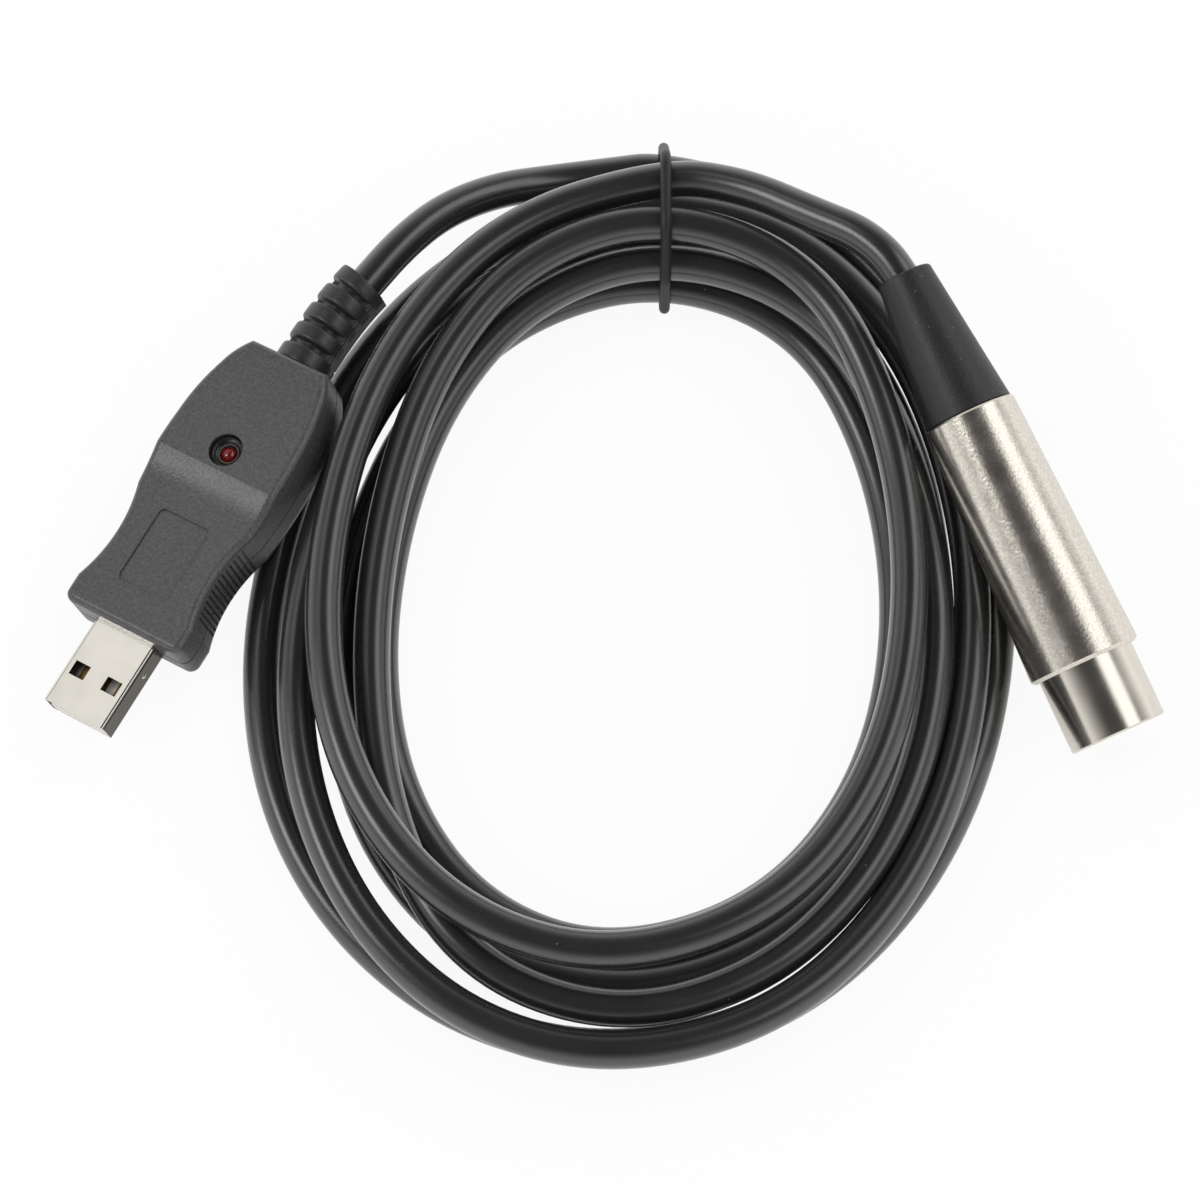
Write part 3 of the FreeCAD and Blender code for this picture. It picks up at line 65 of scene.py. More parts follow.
class CoilSizes(bpy.types.PropertyGroup):
    cable_diameter: FloatProperty(
        name="Cable diameter", description="Across the jacket",
        default=6.0 * MM, min=4.0 * MM, max=6.4 * MM, precision=4, unit="LENGTH")
    cable_length: FloatProperty(
        name="Cable length", description="Length of the cable from the socket's boot to the plug",
        default=2.33, min=2.2, max=2.5, unit="LENGTH")
    tie_thickness: FloatProperty(
        name="Tie thickness", description="Across the elastic tie",
        default=1.8 * MM, min=1.0 * MM, max=2.0 * MM, precision=4, unit="LENGTH")
    relief_bend: FloatProperty(
        name="Strain relief bend", description="How far the cable pulls the strain relief round",
        default=math.radians(14.0), min=0.0, max=math.radians(20.0), subtype="ANGLE")


class CoilFinish(bpy.types.PropertyGroup):
    jacket: FloatVectorProperty(
        name="Cable jacket", description="Colour of the PVC jacket",
        default=linear("212122"), min=0.0, max=1.0, subtype="COLOR")
    housing: FloatVectorProperty(
        name="Plug housing", description="Colour of the moulded housing",
        default=linear("4e4e4f"), min=0.0, max=1.0, subtype="COLOR")
    boot: FloatVectorProperty(
        name="Socket boot", description="Colour of the rubber boot",
        default=linear("232324"), min=0.0, max=1.0, subtype="COLOR")
    nickel: FloatVectorProperty(
        name="Nickel plate", description="Colour of the plated sleeves",
        default=linear("e2dcd1"), min=0.0, max=1.0, subtype="COLOR")
    light: FloatVectorProperty(
        name="Signal light", description="Colour of the unlit red light",
        default=linear("841611"), min=0.0, max=1.0, subtype="COLOR")
    floor: FloatVectorProperty(
        name="Floor", description="Colour of the table and backdrop",
        default=linear("fbfbfa"), min=0.0, max=1.0, subtype="COLOR")


# Where things lie, as in the part's source

def turned(heading, pitch, roll):
    """Turn matrix: about Z by the heading, after about Y by the pitch, after about X by the roll."""
    matrices = []
    for angle, still in ((heading, 2), (pitch, 1), (roll, 0)):
        turn = np.eye(3)
        first, second = [axis for axis in (0, 1, 2) if axis != still]
        cosine, sine = math.cos(math.radians(angle)), math.sin(math.radians(angle))
        side = -1 if still == 1 else 1
        turn[first, first] = turn[second, second] = cosine
        turn[first, second] = -side * sine
        turn[second, first] = side * sine
        matrices.append(turn)
    return matrices[0] @ matrices[1] @ matrices[2]


CENTRE = np.array([-0.48, 0.03, 0.0]) * MM
SOCKET_SEAT = CENTRE + np.array([82.75, -25.55, 7.8]) * MM
SOCKET_TURN = turned(-64.9, 13.0, -140.0)
PLUG_SEAT = CENTRE + np.array([-75.7, -9.3, 8.0]) * MM
PLUG_TURN = turned(239.7, 3.5, 12.0)

# Along the axis of the socket or the plug, in mm, from its seat
BOOT_BACK = -81.5
HOUSING_BACK = -52.3
JACKET_END = -48.15
JACKET_IN_BOOT = 12.0
JACKET_IN_RELIEF = 9.0
LIGHT_PLACE = -33.2

# The strain relief, in mm: its ribs are counted from the housing, and its rails stand out to both sides
COLLAR_LENGTH = 3.2
RIB_FIRST = 4.6
RIB_WIDTH = 2.3
RIB_PITCH = 3.8
RIB_COUNT = 4
RIB_SHOULDER = 0.27
RELIEF_CORE = 3.25
RELIEF_RIB = 4.85
RELIEF_COLLAR = 4.95
RELIEF_BORE = 3.05
RELIEF_BACK = HOUSING_BACK - RIB_FIRST - RIB_WIDTH - (RIB_COUNT - 1) * RIB_PITCH
SPIGOT_RADIUS = 3.45
SPIGOT_LENGTH = 2.0
RAIL_START = COLLAR_LENGTH - 0.2
RAIL_REACH_RIGHT = 4.75
RAIL_REACH_LEFT = 4.0
RAIL_HALF_HEIGHT = 1.7

# The trim of the plug, in mm of its own axes. The liner, a dark cup of painted shade in the light's dish, has
# points of radius and height, from its rim down its outside and back up its inside. The lip's points are
# place along the axis and height
PAINTED_SHADE_LINER = [(2.93, 6.93), (2.93, 5.6), (2.4, 5.3), (1.75, 5.3), (1.75, 5.47),
              (2.35, 5.52), (2.7, 5.75), (2.86, 6.2), (2.86, 6.93)]
PANEL_FRONT = -7.8
PANEL_BACK = -19.3
PANEL_SIDE = 3.8
PANEL_CORNER = 1.2
PANEL_EDGE_HEIGHT = 5.49
PANEL_EDGE_RADIUS = 0.11
LIP_OUTLINE = [(14.85, -1.90), (15.35, -1.90), (15.5, -1.75), (15.5, -0.35), (15.3, -0.1), (14.85, -0.1)]
LIP_HALF_WIDTH = 5.6
SHELL_SIDE = 6.0
DIMPLE_PLACE = 4.6
DIMPLE_RADIUS = 0.45
DIMPLE_HEIGHT = 0.16

# The cable's crossings of four stations, turn by turn: distance from the centre and height, in mm. They
# lie up to 2 mm from those of the exact tube, where the photograph shows each strand. QUARTER_RUN is the
# usual length between two stations, and POINT_SPACING that between two points of the route
STATION_PLACES = {"tie": 10.8, "left": -14.0, "bottom": 2.0, "right": -4.0}
QUARTER_RUN = 92.0
TURNS = np.array([
    [(67.0, 19.0), (43.7, 16.5), (63.5, 17.0), (49.2, 17.5)],
    [(59.0, 19.5), (36.5, 10.6), (70.8, 9.5), (53.8, 11.1)],
    [(55.0, 12.8), (35.5, 4.5), (59.3, 3.0), (48.4, 3.0)],
    [(54.5, 5.0), (42.0, 3.0), (65.6, 3.0), (54.6, 3.0)],
    [(61.2, 5.7), (48.5, 11.4), (77.7, 10.9), (60.2, 7.9)],
    [(68.5, 5.0), (54.8, 3.0), (75.5, 3.0), (64.6, 3.0)],
])
LAST_TIE_CROSSING = (75.5, 5.0)
SOCKET_LEAD = [((35.0, 58.0, 24.0), (148.0, -7.0))]
PLUG_LEAD = [((-8.0, 73.5, 5.0), (186.0, 7.0)), ((-26.0, 65.5, 10.0), (213.0, 9.0))]
POINT_SPACING = 23.0
TIE_CLEARANCE = 0.12

# The camera looks at the coil's centre from the front, from so many metres away and degrees above, with
# a lens and a sensor in mm. The floor reaches so many metres each way. The last three are how white
# the floor is by itself to the camera and in reflections, and how bright the room lights matt surfaces
CAMERA_DISTANCE = 0.6
CAMERA_ELEVATION = 70.0
CAMERA_LENS = 109.8
CAMERA_SENSOR = 36.0
FLOOR_REACH = 3.0
FLOOR_DROP = 0.05 * MM
FLOOR_SHOWN_WHITE = 0.92
FLOOR_MIRRORED_WHITE = 0.45
ROOM_LIGHT = 0.70

# Softboxes: name, place in metres, size in metres, heading of the first side in degrees, watts
LAMPS = [
    ("right_strip", (0.890, 0.252, 1.305), (1.80, 0.66), 70.0, 5.5),
    ("left_box", (-1.11, -0.08, 1.19), (0.60, 0.50), 90.0, 4.2),
    ("back_card", (-0.69, 0.66, 1.31), (0.50, 0.50), 49.0, 0.72),
]


def on_socket(points):
    """Points of the socket's own axes, in mm, as points of the frame in metres."""
    return np.asarray(points, float) * MM @ SOCKET_TURN.T + SOCKET_SEAT


def on_plug(points):
    """Points of the plug's own axes, in mm, as points of the frame in metres."""
    return np.asarray(points, float) * MM @ PLUG_TURN.T + PLUG_SEAT


# The cable's line

def steady_slopes(values):
    """The mean of the two changes beside each value, held to twice the smaller and to 0 where they turn."""
    before = np.diff(values, prepend=2 * values[0] - values[1])
    after = np.diff(values, append=2 * values[-1] - values[-2])
    size = np.minimum(np.abs(before + after) / 2, 2 * np.minimum(np.abs(before), np.abs(after)))
    return np.where(before * after > 0, np.sign(before) * size, 0.0)


def coil_crossings():
    """Where the coil crosses its stations and which way it heads there.

    A crossing lies out from the centre by its distance, and its heading is the station's own way on,
    tilted by how the distance and the height change from one turn to the next."""
    base = np.array([(STATION_PLACES["tie"], 0, 0), (0, STATION_PLACES["left"], 0),
                     (STATION_PLACES["bottom"], 0, 0), (0, STATION_PLACES["right"], 0)])
    outward = np.array([(0, 1, 0), (-1, 0, 0), (0, -1, 0), (1, 0, 0)], float)
    onward = np.array([(-1, 0, 0), (0, -1, 0), (1, 0, 0), (0, 1, 0)], float)
    crossings = np.vstack([TURNS.reshape(-1, 2), LAST_TIE_CROSSING])
    station = np.arange(len(crossings)) % 4
    usual = TURNS[:, :, 0].mean(axis=0)
    drift = steady_slopes(crossings[:, 0] - usual[station])[:, None] / QUARTER_RUN
    climb = steady_slopes(crossings[:, 1])[:, None] / QUARTER_RUN
    points = base[station] + outward[station] * crossings[:, :1] + (0, 0, 1) * crossings[:, 1:]
    headings = onward[station] + outward[station] * drift + (0, 0, 1) * climb
    return points, headings / np.linalg.norm(headings, axis=1, keepdims=True)


def lead_crossings(lead):
    """The points of one free lead and their headings, from a heading and a climb in degrees."""
    points = np.array([point for point, _ in lead])
    heading, climb = np.radians([way for _, way in lead]).T
    level = np.cos(climb)
    return points, np.stack([np.cos(heading) * level, np.sin(heading) * level, np.sin(climb)], axis=1)


def relief_axis(run, bend):
    """Points of the strain relief's own axis, in mm of the plug's axes, and its lean there.

    The lean grows as the square of the run behind the housing, up to the bend at the back."""
    share = np.clip(np.asarray(run, float) / (HOUSING_BACK - RELIEF_BACK), 0, None)
    lean = bend * share ** 2
    sideways = bend * (HOUSING_BACK - RELIEF_BACK) * share ** 3 / 3
    return np.stack([HOUSING_BACK - np.asarray(run, float), sideways, 0 * lean], axis=-1), lean


def coil_line(bend):
    """The control points of the cable's spline, in metres.

    Between two crossings the line is a cubic that has their headings; its end slopes are four times
    the leg of the equal-legged corner between them. Each turn takes 16 points or more of it. A
    quadratic spline passes an eighth of the second difference inside its points, so they move out
    by that much."""
    coil, ways = coil_crossings()
    first, first_way = lead_crossings(SOCKET_LEAD)
    last, last_way = lead_crossings(PLUG_LEAD)
    free = np.vstack([first, coil, last]) * MM + CENTRE
    boot = on_socket([(BOOT_BACK, 0, 0)])
    held, _ = relief_axis([HOUSING_BACK - RELIEF_BACK, JACKET_IN_RELIEF, 0.0], bend)
    relief = on_plug(held)
    towards_plug = PLUG_TURN @ np.array([math.cos(bend), -math.sin(bend), 0.0])
    points = np.vstack([boot, free, relief[:1]])
    ways = np.vstack([-SOCKET_TURN[:, 0], first_way, ways, last_way, towards_plug])
    start, end, leave, arrive = points[:-1], points[1:], ways[:-1], ways[1:]
    step = end - start
    along = np.sum(step * (leave + arrive), axis=1)
    turning = 2 * (1 - np.sum(leave * arrive, axis=1))
    leg = ((np.sqrt(along ** 2 + turning * np.sum(step * step, axis=1)) - along) / turning)[:, None]
    counts = np.maximum(2, np.round(np.linalg.norm(step, axis=1) / (POINT_SPACING * MM))).astype(int)
    run = np.repeat(np.arange(len(step)), counts)
    share = np.concatenate([np.arange(count) / count for count in counts])[:, None]
    rest = 1 - share
    line = (start[run] * (1 + 2 * share) * rest ** 2 + 4 * leg[run] * leave[run] * share * rest ** 2
            + end[run] * share ** 2 * (3 - 2 * share) - 4 * leg[run] * arrive[run] * share ** 2 * rest)
    line = np.vstack([line, points[-1:]])
    second = line[:-2] - 2 * line[1:-1] + line[2:]
    tangent = line[2:] - line[:-2]
    tangent /= np.linalg.norm(tangent, axis=1, keepdims=True)
    line[1:-1] -= (second - tangent * np.sum(second * tangent, axis=1, keepdims=True)) / 8
    inside = on_socket([(BOOT_BACK + JACKET_IN_BOOT, 0, 0)])
    return np.vstack([inside, line, relief[1:], on_plug([(JACKET_END, 0, 0)])])


# Mesh and curve helpers

def add_piece(name, mesh, material):
    """A new piece on the cable's body, with its material."""
    piece = bpy.data.objects.new(name, mesh)
    bpy.context.scene.collection.objects.link(piece)
    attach(piece, "cable")
    mesh.materials.append(bpy.data.materials[material])
    return piece


def spline_points(line):
    """The points of a smooth NURBS spline that has the line as its control points."""
    curve = bpy.data.curves.new("cable_route", "CURVE")
    curve.dimensions = "3D"
    curve.resolution_u = 12
    spline = curve.splines.new("NURBS")
    spline.points.add(len(line) - 1)
    spline.points.foreach_set("co", np.hstack([line, np.ones((len(line), 1))]).ravel())
    spline.order_u = 3
    spline.use_endpoint_u = True
    route = bpy.data.objects.new("cable_route", curve)
    mesh = bpy.data.meshes.new_from_object(route)
    points = np.empty(len(mesh.vertices) * 3)
    mesh.vertices.foreach_get("co", points)
    bpy.data.meshes.remove(mesh)
    bpy.data.objects.remove(route)
    bpy.data.curves.remove(curve)
    return points.reshape(-1, 3)


def tube_mesh(name, path, diameter, columns=40):
    """A round tube: a circle carried along the path.

    Each circle is square to the path, one of its axes is level, and it starts at its underside."""
    along = np.gradient(path, axis=0)
    along /= np.linalg.norm(along, axis=1, keepdims=True)
    level = np.cross((0, 0, 1), along)
    level /= np.linalg.norm(level, axis=1, keepdims=True)
    upward = np.cross(along, level)
    angle = (np.arange(columns) / columns - 0.25) * 2 * np.pi
    points = path[:, None] + diameter / 2 * (np.cos(angle)[:, None] * level[:, None]
                                             + np.sin(angle)[:, None] * upward[:, None])
    return grid_mesh(name, points)


def ring_mesh(name, path, upright, radius, columns=16):
    """A closed ring: a small circle carried along a flat closed path; upright is square to its plane."""
    heading = np.roll(path, -1, axis=0) - np.roll(path, 1, axis=0)
    heading /= np.linalg.norm(heading, axis=1, keepdims=True)
    sideways = np.cross(upright, heading)
    angle = np.arange(columns) * 2 * np.pi / columns
    points = path[:, None] + radius * (np.cos(angle)[:, None] * sideways[:, None]
                                       + np.sin(angle)[:, None] * np.asarray(upright)[None, None])
    return grid_mesh(name, points, wrap_rows=True)


def turned_mesh(name, profile, middle, place, wrap_rows=False, columns=48):
    """A turned shape: a profile of radius and height, in mm, carried round the upright at the middle.

    place takes the points from the shape's own axes to the frame."""
    angle = np.arange(columns) * 2 * np.pi / columns
    radius, height = np.asarray(profile, float).T
    points = np.stack([middle + radius[:, None] * np.cos(angle), radius[:, None] * np.sin(angle),
                       np.repeat(height[:, None], columns, axis=1)], axis=-1)
    return grid_mesh(name, place(points), wrap_rows=wrap_rows)


def grid_mesh(name, points, wrap_rows=False):
    """A closed mesh of four-sided faces over a grid of points.

    The last column joins the first. So does the last row where the rows wrap, and otherwise a fan of
    triangles closes each end."""
    rows, columns = points.shape[:2]
    index = np.arange(rows * columns).reshape(rows, columns)
    here = index if wrap_rows else index[:-1]
    down = np.roll(index, -1, axis=0) if wrap_rows else index[1:]
    corners = [here, np.roll(here, -1, axis=1), np.roll(down, -1, axis=1), down]
    faces = np.stack(corners, axis=-1).reshape(-1, 4).tolist()
    vertices = points.reshape(-1, 3)
    if not wrap_rows:
        middles = points[[0, -1]].mean(axis=1)
        vertices = np.vstack([vertices, middles])
        ring = np.arange(columns)
        following = np.roll(ring, -1)
        last = (rows - 1) * columns
        first_middle = np.full(columns, rows * columns)
        faces += np.stack([following, ring, first_middle], axis=-1).tolist()
        faces += np.stack([ring + last, following + last, first_middle + 1], axis=-1).tolist()
    mesh = bpy.data.meshes.new(name)
    mesh.from_pydata(vertices.tolist(), [], faces)
    mesh.shade_smooth()
    mesh.update()
    return mesh


# Materials: what each surface is, how it was made and what that gives the eye

# Fine lines along a connector, from drawing or rolling: their spacing in mm and their length for it
LINE_SPACING = 0.5
LINE_STRETCH = 25.0


def add_node(tree, kind, inputs=None, **settings):
    """One node; inputs gives each socket a value or another node's output."""
    node = tree.nodes.new(kind)
    for key, value in settings.items():
        setattr(node, key, value)
    for key, value in (inputs or {}).items():
        if isinstance(value, bpy.types.NodeSocket):
            tree.links.new(value, node.inputs[key])
        else:
            node.inputs[key].default_value = value
    return node


def make_finish(name, colour, roughness, metallic=0.0, ior=1.5, mottle=(4.0, 0.1), grain=(0.35, 0.01),
                specks=None, lines=None, sides=None, depths=None, coat=0.0, transmission=0.0):
    """A surface from its real sizes in mm.

    mottle is the width and the strength of soft patches in its colour and gloss. grain is the width and
    the height of its fine bumps and, where it is given, their strength in its tone. specks is the
    spacing, the radius, the share and the colour of small spots. lines is the turn matrix of a connector
    and the strength of the fine lines along its axis. sides is the direction and the colour of painted
    shade on its sides. depths is the reach and the colour of painted shade in its hollows."""
    material = bpy.data.materials.new(name)
    material.use_nodes = True
    tree = material.node_tree
    shader = tree.nodes["Principled BSDF"]
    shader.inputs["Metallic"].default_value = metallic
    if not metallic:
        shader.inputs["IOR"].default_value = ior
    shader.inputs["Coat Weight"].default_value = coat
    shader.inputs["Coat Roughness"].default_value = roughness
    shader.inputs["Transmission Weight"].default_value = transmission
    place = add_node(tree, "ShaderNodeTexCoord").outputs["Object"]
    patches = add_node(tree, "ShaderNodeTexNoise",
                       {"Vector": place, "Scale": 1000 / mottle[0], "Detail": 3.0, "Roughness": 0.55})
    patch = patches.outputs["Fac"]
    darker = [channel * (1 - mottle[1]) for channel in colour]
    lighter = [min(1.0, channel * (1 + mottle[1])) for channel in colour]
    # A Mix node of colours takes them at its sockets 6 and 7 and gives them at 2
    surface = add_node(tree, "ShaderNodeMix", {0: patch, 6: (*darker, 1), 7: (*lighter, 1)},
                       data_type="RGBA").outputs[2]
    if specks:
        spacing, radius, share, spot_colour = specks
        cells = add_node(tree, "ShaderNodeTexVoronoi",
                         {"Vector": place, "Scale": 1000 / spacing, "Randomness": 1.0})
        chosen = add_node(tree, "ShaderNodeSeparateColor", {"Color": cells.outputs["Color"]})
        rare = add_node(tree, "ShaderNodeMath", {0: chosen.outputs["Red"], 1: share}, operation="LESS_THAN")
        near = add_node(tree, "ShaderNodeMapRange",
                        {"Value": cells.outputs["Distance"], "From Min": 0.7 * radius / spacing,
                         "From Max": 1.3 * radius / spacing, "To Min": 1.0, "To Max": 0.0})
        spot = add_node(tree, "ShaderNodeMath", {0: rare.outputs[0], 1: near.outputs[0]},
                        operation="MULTIPLY")
        surface = add_node(tree, "ShaderNodeMix", {0: spot.outputs[0], 6: surface, 7: (*spot_colour, 1)},
                           data_type="RGBA").outputs[2]
    # Painted shade: faces turned along the direction take the darker side colour, a painted reflection of a
    # dark room
    if sides:
        direction, side_shade_colour = sides
        facing_way = add_node(tree, "ShaderNodeTexCoord").outputs["Normal"]
        turned_aside = add_node(tree, "ShaderNodeVectorMath", {0: facing_way, 1: tuple(direction)},
                                operation="DOT_PRODUCT")
        aside = add_node(tree, "ShaderNodeMath", {0: turned_aside.outputs["Value"]}, operation="ABSOLUTE")
        shaded_side = add_node(tree, "ShaderNodeMapRange",
                        {"Value": aside.outputs[0], "From Min": 0.5, "From Max": 0.9})
        surface = add_node(tree, "ShaderNodeMix", {0: shaded_side.outputs[0], 6: surface, 7: (*side_shade_colour, 1)},
                           data_type="RGBA").outputs[2]
    # Painted shade: where little of the room is open, the colour goes to the shade colour
    if depths:
        reach, deep_colour = depths
        open_share = add_node(tree, "ShaderNodeAmbientOcclusion", {"Distance": reach * MM}).outputs["AO"]
        unshaded = add_node(tree, "ShaderNodeMapRange",
                         {"Value": open_share, "From Min": 0.55, "From Max": 0.95})
        surface = add_node(tree, "ShaderNodeMix", {0: unshaded.outputs[0], 6: (*deep_colour, 1), 7: surface},
                           data_type="RGBA").outputs[2]
    bumps = add_node(tree, "ShaderNodeTexNoise",
                     {"Vector": place, "Scale": 1000 / grain[0], "Detail": 2.0, "Roughness": 0.6})
    height = bumps.outputs["Fac"]
    if len(grain) > 2:
        tone = add_node(tree, "ShaderNodeMapRange", {"Value": height, "From Min": 0.3, "From Max": 0.7,
                                                     "To Min": 1 - grain[2], "To Max": 1 + grain[2]})
        surface = add_node(tree, "ShaderNodeHueSaturation",
                           {"Color": surface, "Value": tone.outputs[0]}).outputs["Color"]
    tree.links.new(surface, shader.inputs["Base Color"])
    gloss = add_node(tree, "ShaderNodeMapRange",
                     {"Value": patch, "From Min": 0.3, "From Max": 0.7,
                      "To Min": roughness - 0.03, "To Max": roughness + 0.03})
    tree.links.new(gloss.outputs[0], shader.inputs["Roughness"])
    if lines:
        turn, strength = lines
        along = add_node(tree, "ShaderNodeMapping", {"Vector": place, "Scale": (LINE_STRETCH, 1.0, 1.0),
                                                     "Rotation": rotation_of(turn)}, vector_type="TEXTURE")
        drawn = add_node(tree, "ShaderNodeTexNoise",
                         {"Vector": along.outputs[0], "Scale": 1000 / LINE_SPACING, "Detail": 2.0})
        scaled = add_node(tree, "ShaderNodeMath", {0: drawn.outputs["Fac"], 1: strength},
                          operation="MULTIPLY")
        height = add_node(tree, "ShaderNodeMath", {0: height, 1: scaled.outputs[0]},
                          operation="ADD").outputs[0]
    bump = add_node(tree, "ShaderNodeBump", {"Height": height, "Strength": 1.0, "Distance": grain[1] * MM})
    tree.links.new(bump.outputs[0], shader.inputs["Normal"])
    return material


def rotation_of(turn):
    """The three Euler angles, about X, Y and Z in that order, of a turn matrix."""
    pitch = math.asin(-turn[2, 0])
    return (math.atan2(turn[2, 1], turn[2, 2]), pitch, math.atan2(turn[1, 0], turn[0, 0]))


def make_materials(finish):
    """Every material slot of the record with its finish."""
    return {
        # Extruded PVC: satin, so it shows long soft highlights, with a little dust
        "cable_jacket": make_finish("extruded_pvc", finish.jacket, 0.27, ior=1.63, mottle=(9.0, 0.10),
                                    grain=(0.5, 0.004), specks=(2.4, 0.13, 0.12, linear("6d6d6b")), coat=1.0),
        # Moulded rubber cord: dull and even
        "tie_rubber": make_finish("elastic_rubber", linear("1f1f20"), 0.50, ior=1.52, mottle=(2.0, 0.15),
                                  grain=(0.3, 0.01)),
        # Folded nickel-plated steel: bright, with faint lines from rolling, and painted shade on its sides
        # for the dark room they reflect
        "plug_steel": make_finish("plated_steel", linear("e6e2d8"), 0.14, metallic=1.0, mottle=(5.0, 0.05),
                                  grain=(0.4, 0.0012), lines=(PLUG_TURN, 0.8),
                                  sides=(PLUG_TURN[:, 1], linear("625e58"))),
        # Injection-moulded PBT: plain white and slightly glossy, with painted shade in its hollows
        "white_insulator": make_finish("white_pbt", linear("e2e1dc"), 0.42, ior=1.55, mottle=(3.0, 0.04),
                                       grain=(0.3, 0.004), depths=(2.5, linear("35302b"))),
        # ABS from a spark-eroded mould: satin with a fine even grain, drawn twice as coarse as the real one
        "housing_plastic": make_finish("grained_abs", finish.housing, 0.28, ior=1.54, mottle=(7.0, 0.06),
                                       grain=(0.45, 0.035, 0.30)),
        # Clear red epoxy, unlit: dark and glossy
        "red_lens": make_finish("red_epoxy", finish.light, 0.10, ior=1.54, mottle=(1.0, 0.25),
                                grain=(0.8, 0.004), coat=1.0, transmission=0.35),
        # Tinned wire: soft bright grey
        "tinned_lead": make_finish("tinned_wire", linear("c6c6c2"), 0.28, metallic=1.0, mottle=(1.0, 0.1),
                                   grain=(0.2, 0.004)),
        # Solder mask over glass laminate: green, glossy and a little uneven
        "board_green": make_finish("solder_mask", linear("1d5a37"), 0.30, ior=1.5, mottle=(1.4, 0.15),
                                   grain=(0.5, 0.006)),
        # Moulded epoxy package: matt black
        "chip_black": make_finish("moulded_epoxy", linear("262627"), 0.52, ior=1.55, mottle=(1.5, 0.1),
                                  grain=(0.2, 0.008)),
        # Drawn steel can: bright, and a little soft
        "crystal_can": make_finish("drawn_can", linear("cdccc6"), 0.24, metallic=1.0, mottle=(2.0, 0.08),
                                   grain=(0.3, 0.003)),
        # Fired ceramic: tan and dull
        "capacitor_tan": make_finish("fired_ceramic", linear("b08f66"), 0.55, ior=1.6, mottle=(0.8, 0.12),
                                     grain=(0.15, 0.005)),
        # Soft moulded PVC: satin black with a fine grain
        "relief_plastic": make_finish("moulded_pvc", linear("2b2b2c"), 0.36, ior=1.55, mottle=(5.0, 0.10),
                                      grain=(0.45, 0.03, 0.2), coat=0.2),
        # Polished and plated brass: smooth nickel, slightly uneven in its gloss
        "nickel_smooth": make_finish("polished_nickel", finish.nickel, 0.20, metallic=1.0, mottle=(6.0, 0.05),
                                     grain=(0.5, 0.002)),
        # Blasted and plated zinc casting: satin nickel whose grain breaks up the edge of each reflection,
        # drawn twice as coarse as the real one so that it shows
        "nickel_satin": make_finish("blasted_nickel", finish.nickel, 0.25, metallic=1.0, mottle=(3.0, 0.05),
                                    grain=(0.45, 0.02, 0.14)),
        # Moulded rubber: matt, with light specks of dust
        "boot_rubber": make_finish("moulded_rubber", finish.boot, 0.43, ior=1.55, mottle=(6.0, 0.12),
                                   grain=(0.45, 0.05, 0.2), specks=(1.0, 0.11, 0.35, linear("62625f"))),
        # Glass-filled nylon: dull black, a little uneven from its flow in the mould
        "insert_plastic": make_finish("filled_nylon", linear("1e1e1f"), 0.48, ior=1.53, mottle=(2.5, 0.15),
                                      grain=(0.3, 0.012)),
        # Rolled spring steel: grey and bright, with faint lines from rolling
        "spring_steel": make_finish("rolled_steel", linear("b9b7b1"), 0.30, metallic=1.0, mottle=(2.0, 0.08),
                                    grain=(0.3, 0.003), lines=(SOCKET_TURN, 0.8)),
        # Gold flash over nickel: soft yellow, with painted shade deep in the plug
        "gold_contact": make_finish("gold_flash", linear("9a7c45"), 0.42, metallic=1.0, mottle=(1.2, 0.06),
                                    grain=(0.2, 0.002), depths=(2.5, linear("3c3020"))),
        # Silver plate over turned brass: bright and smooth
        "silver_contact": make_finish("silver_plate", linear("dcdad4"), 0.22, metallic=1.0,
                                      mottle=(1.2, 0.06), grain=(0.2, 0.003)),
        # Thin extruded PVC on the inner wires: satin red
        "wire_insulation": make_finish("wire_pvc", linear("a33b32"), 0.42, ior=1.53, mottle=(2.0, 0.1),
                                       grain=(0.3, 0.006)),
    }


def make_trim_materials():
    """The finishes that only new pieces have."""
    # ABS again, smooth and near black: painted shade laid in the light's dish as a liner
    make_finish("painted_shade_abs", linear("141415"), 0.30, ior=1.54, mottle=(3.0, 0.1), grain=(0.4, 0.01))
    # The insulator's PBT on its open lip: slightly glossy, and a lighter white without the insulator's
    # painted shade, painted light where the lip lies open
    make_finish("painted_lit_pbt", linear("ecebe8"), 0.38, ior=1.55, mottle=(3.0, 0.04), grain=(0.3, 0.004))


# One operator for each piece or group of like pieces

class COIL_OT_finish_nodes(bpy.types.Operator):
    """Make the finishes and give every carried-over piece that of its material slot"""
    bl_idname = "coil.finish_nodes"
    bl_label = "Finish the moulded and metal pieces"

    def execute(self, context):
        materials = make_materials(context.scene.coil_finish)
        make_trim_materials()
        for node, slot_name in node_slots().items():
            piece = bpy.data.objects[node]
            for slot in piece.material_slots:
                slot.material = materials[slot_name]
        return {"FINISHED"}


def node_slots():
    """Which material slot each node of the record takes."""
    return {part["node"]: part["material_slot"] for part in frame["record"]["subparts"]}


class COIL_OT_cable(bpy.types.Operator):
    """Lay the cable: one smooth tube from the socket's boot round the coil to the plug"""
    bl_idname = "coil.cable"
    bl_label = "Lay the cable"

    def execute(self, context):
        sizes = context.scene.coil_sizes
        path = spline_points(coil_line(sizes.relief_bend))
        tube = tube_mesh("cable_jacket", path, sizes.cable_diameter)
        cable = add_piece("cable_jacket", tube, "extruded_pvc")
        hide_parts("cable_coil")
        return {"FINISHED"}


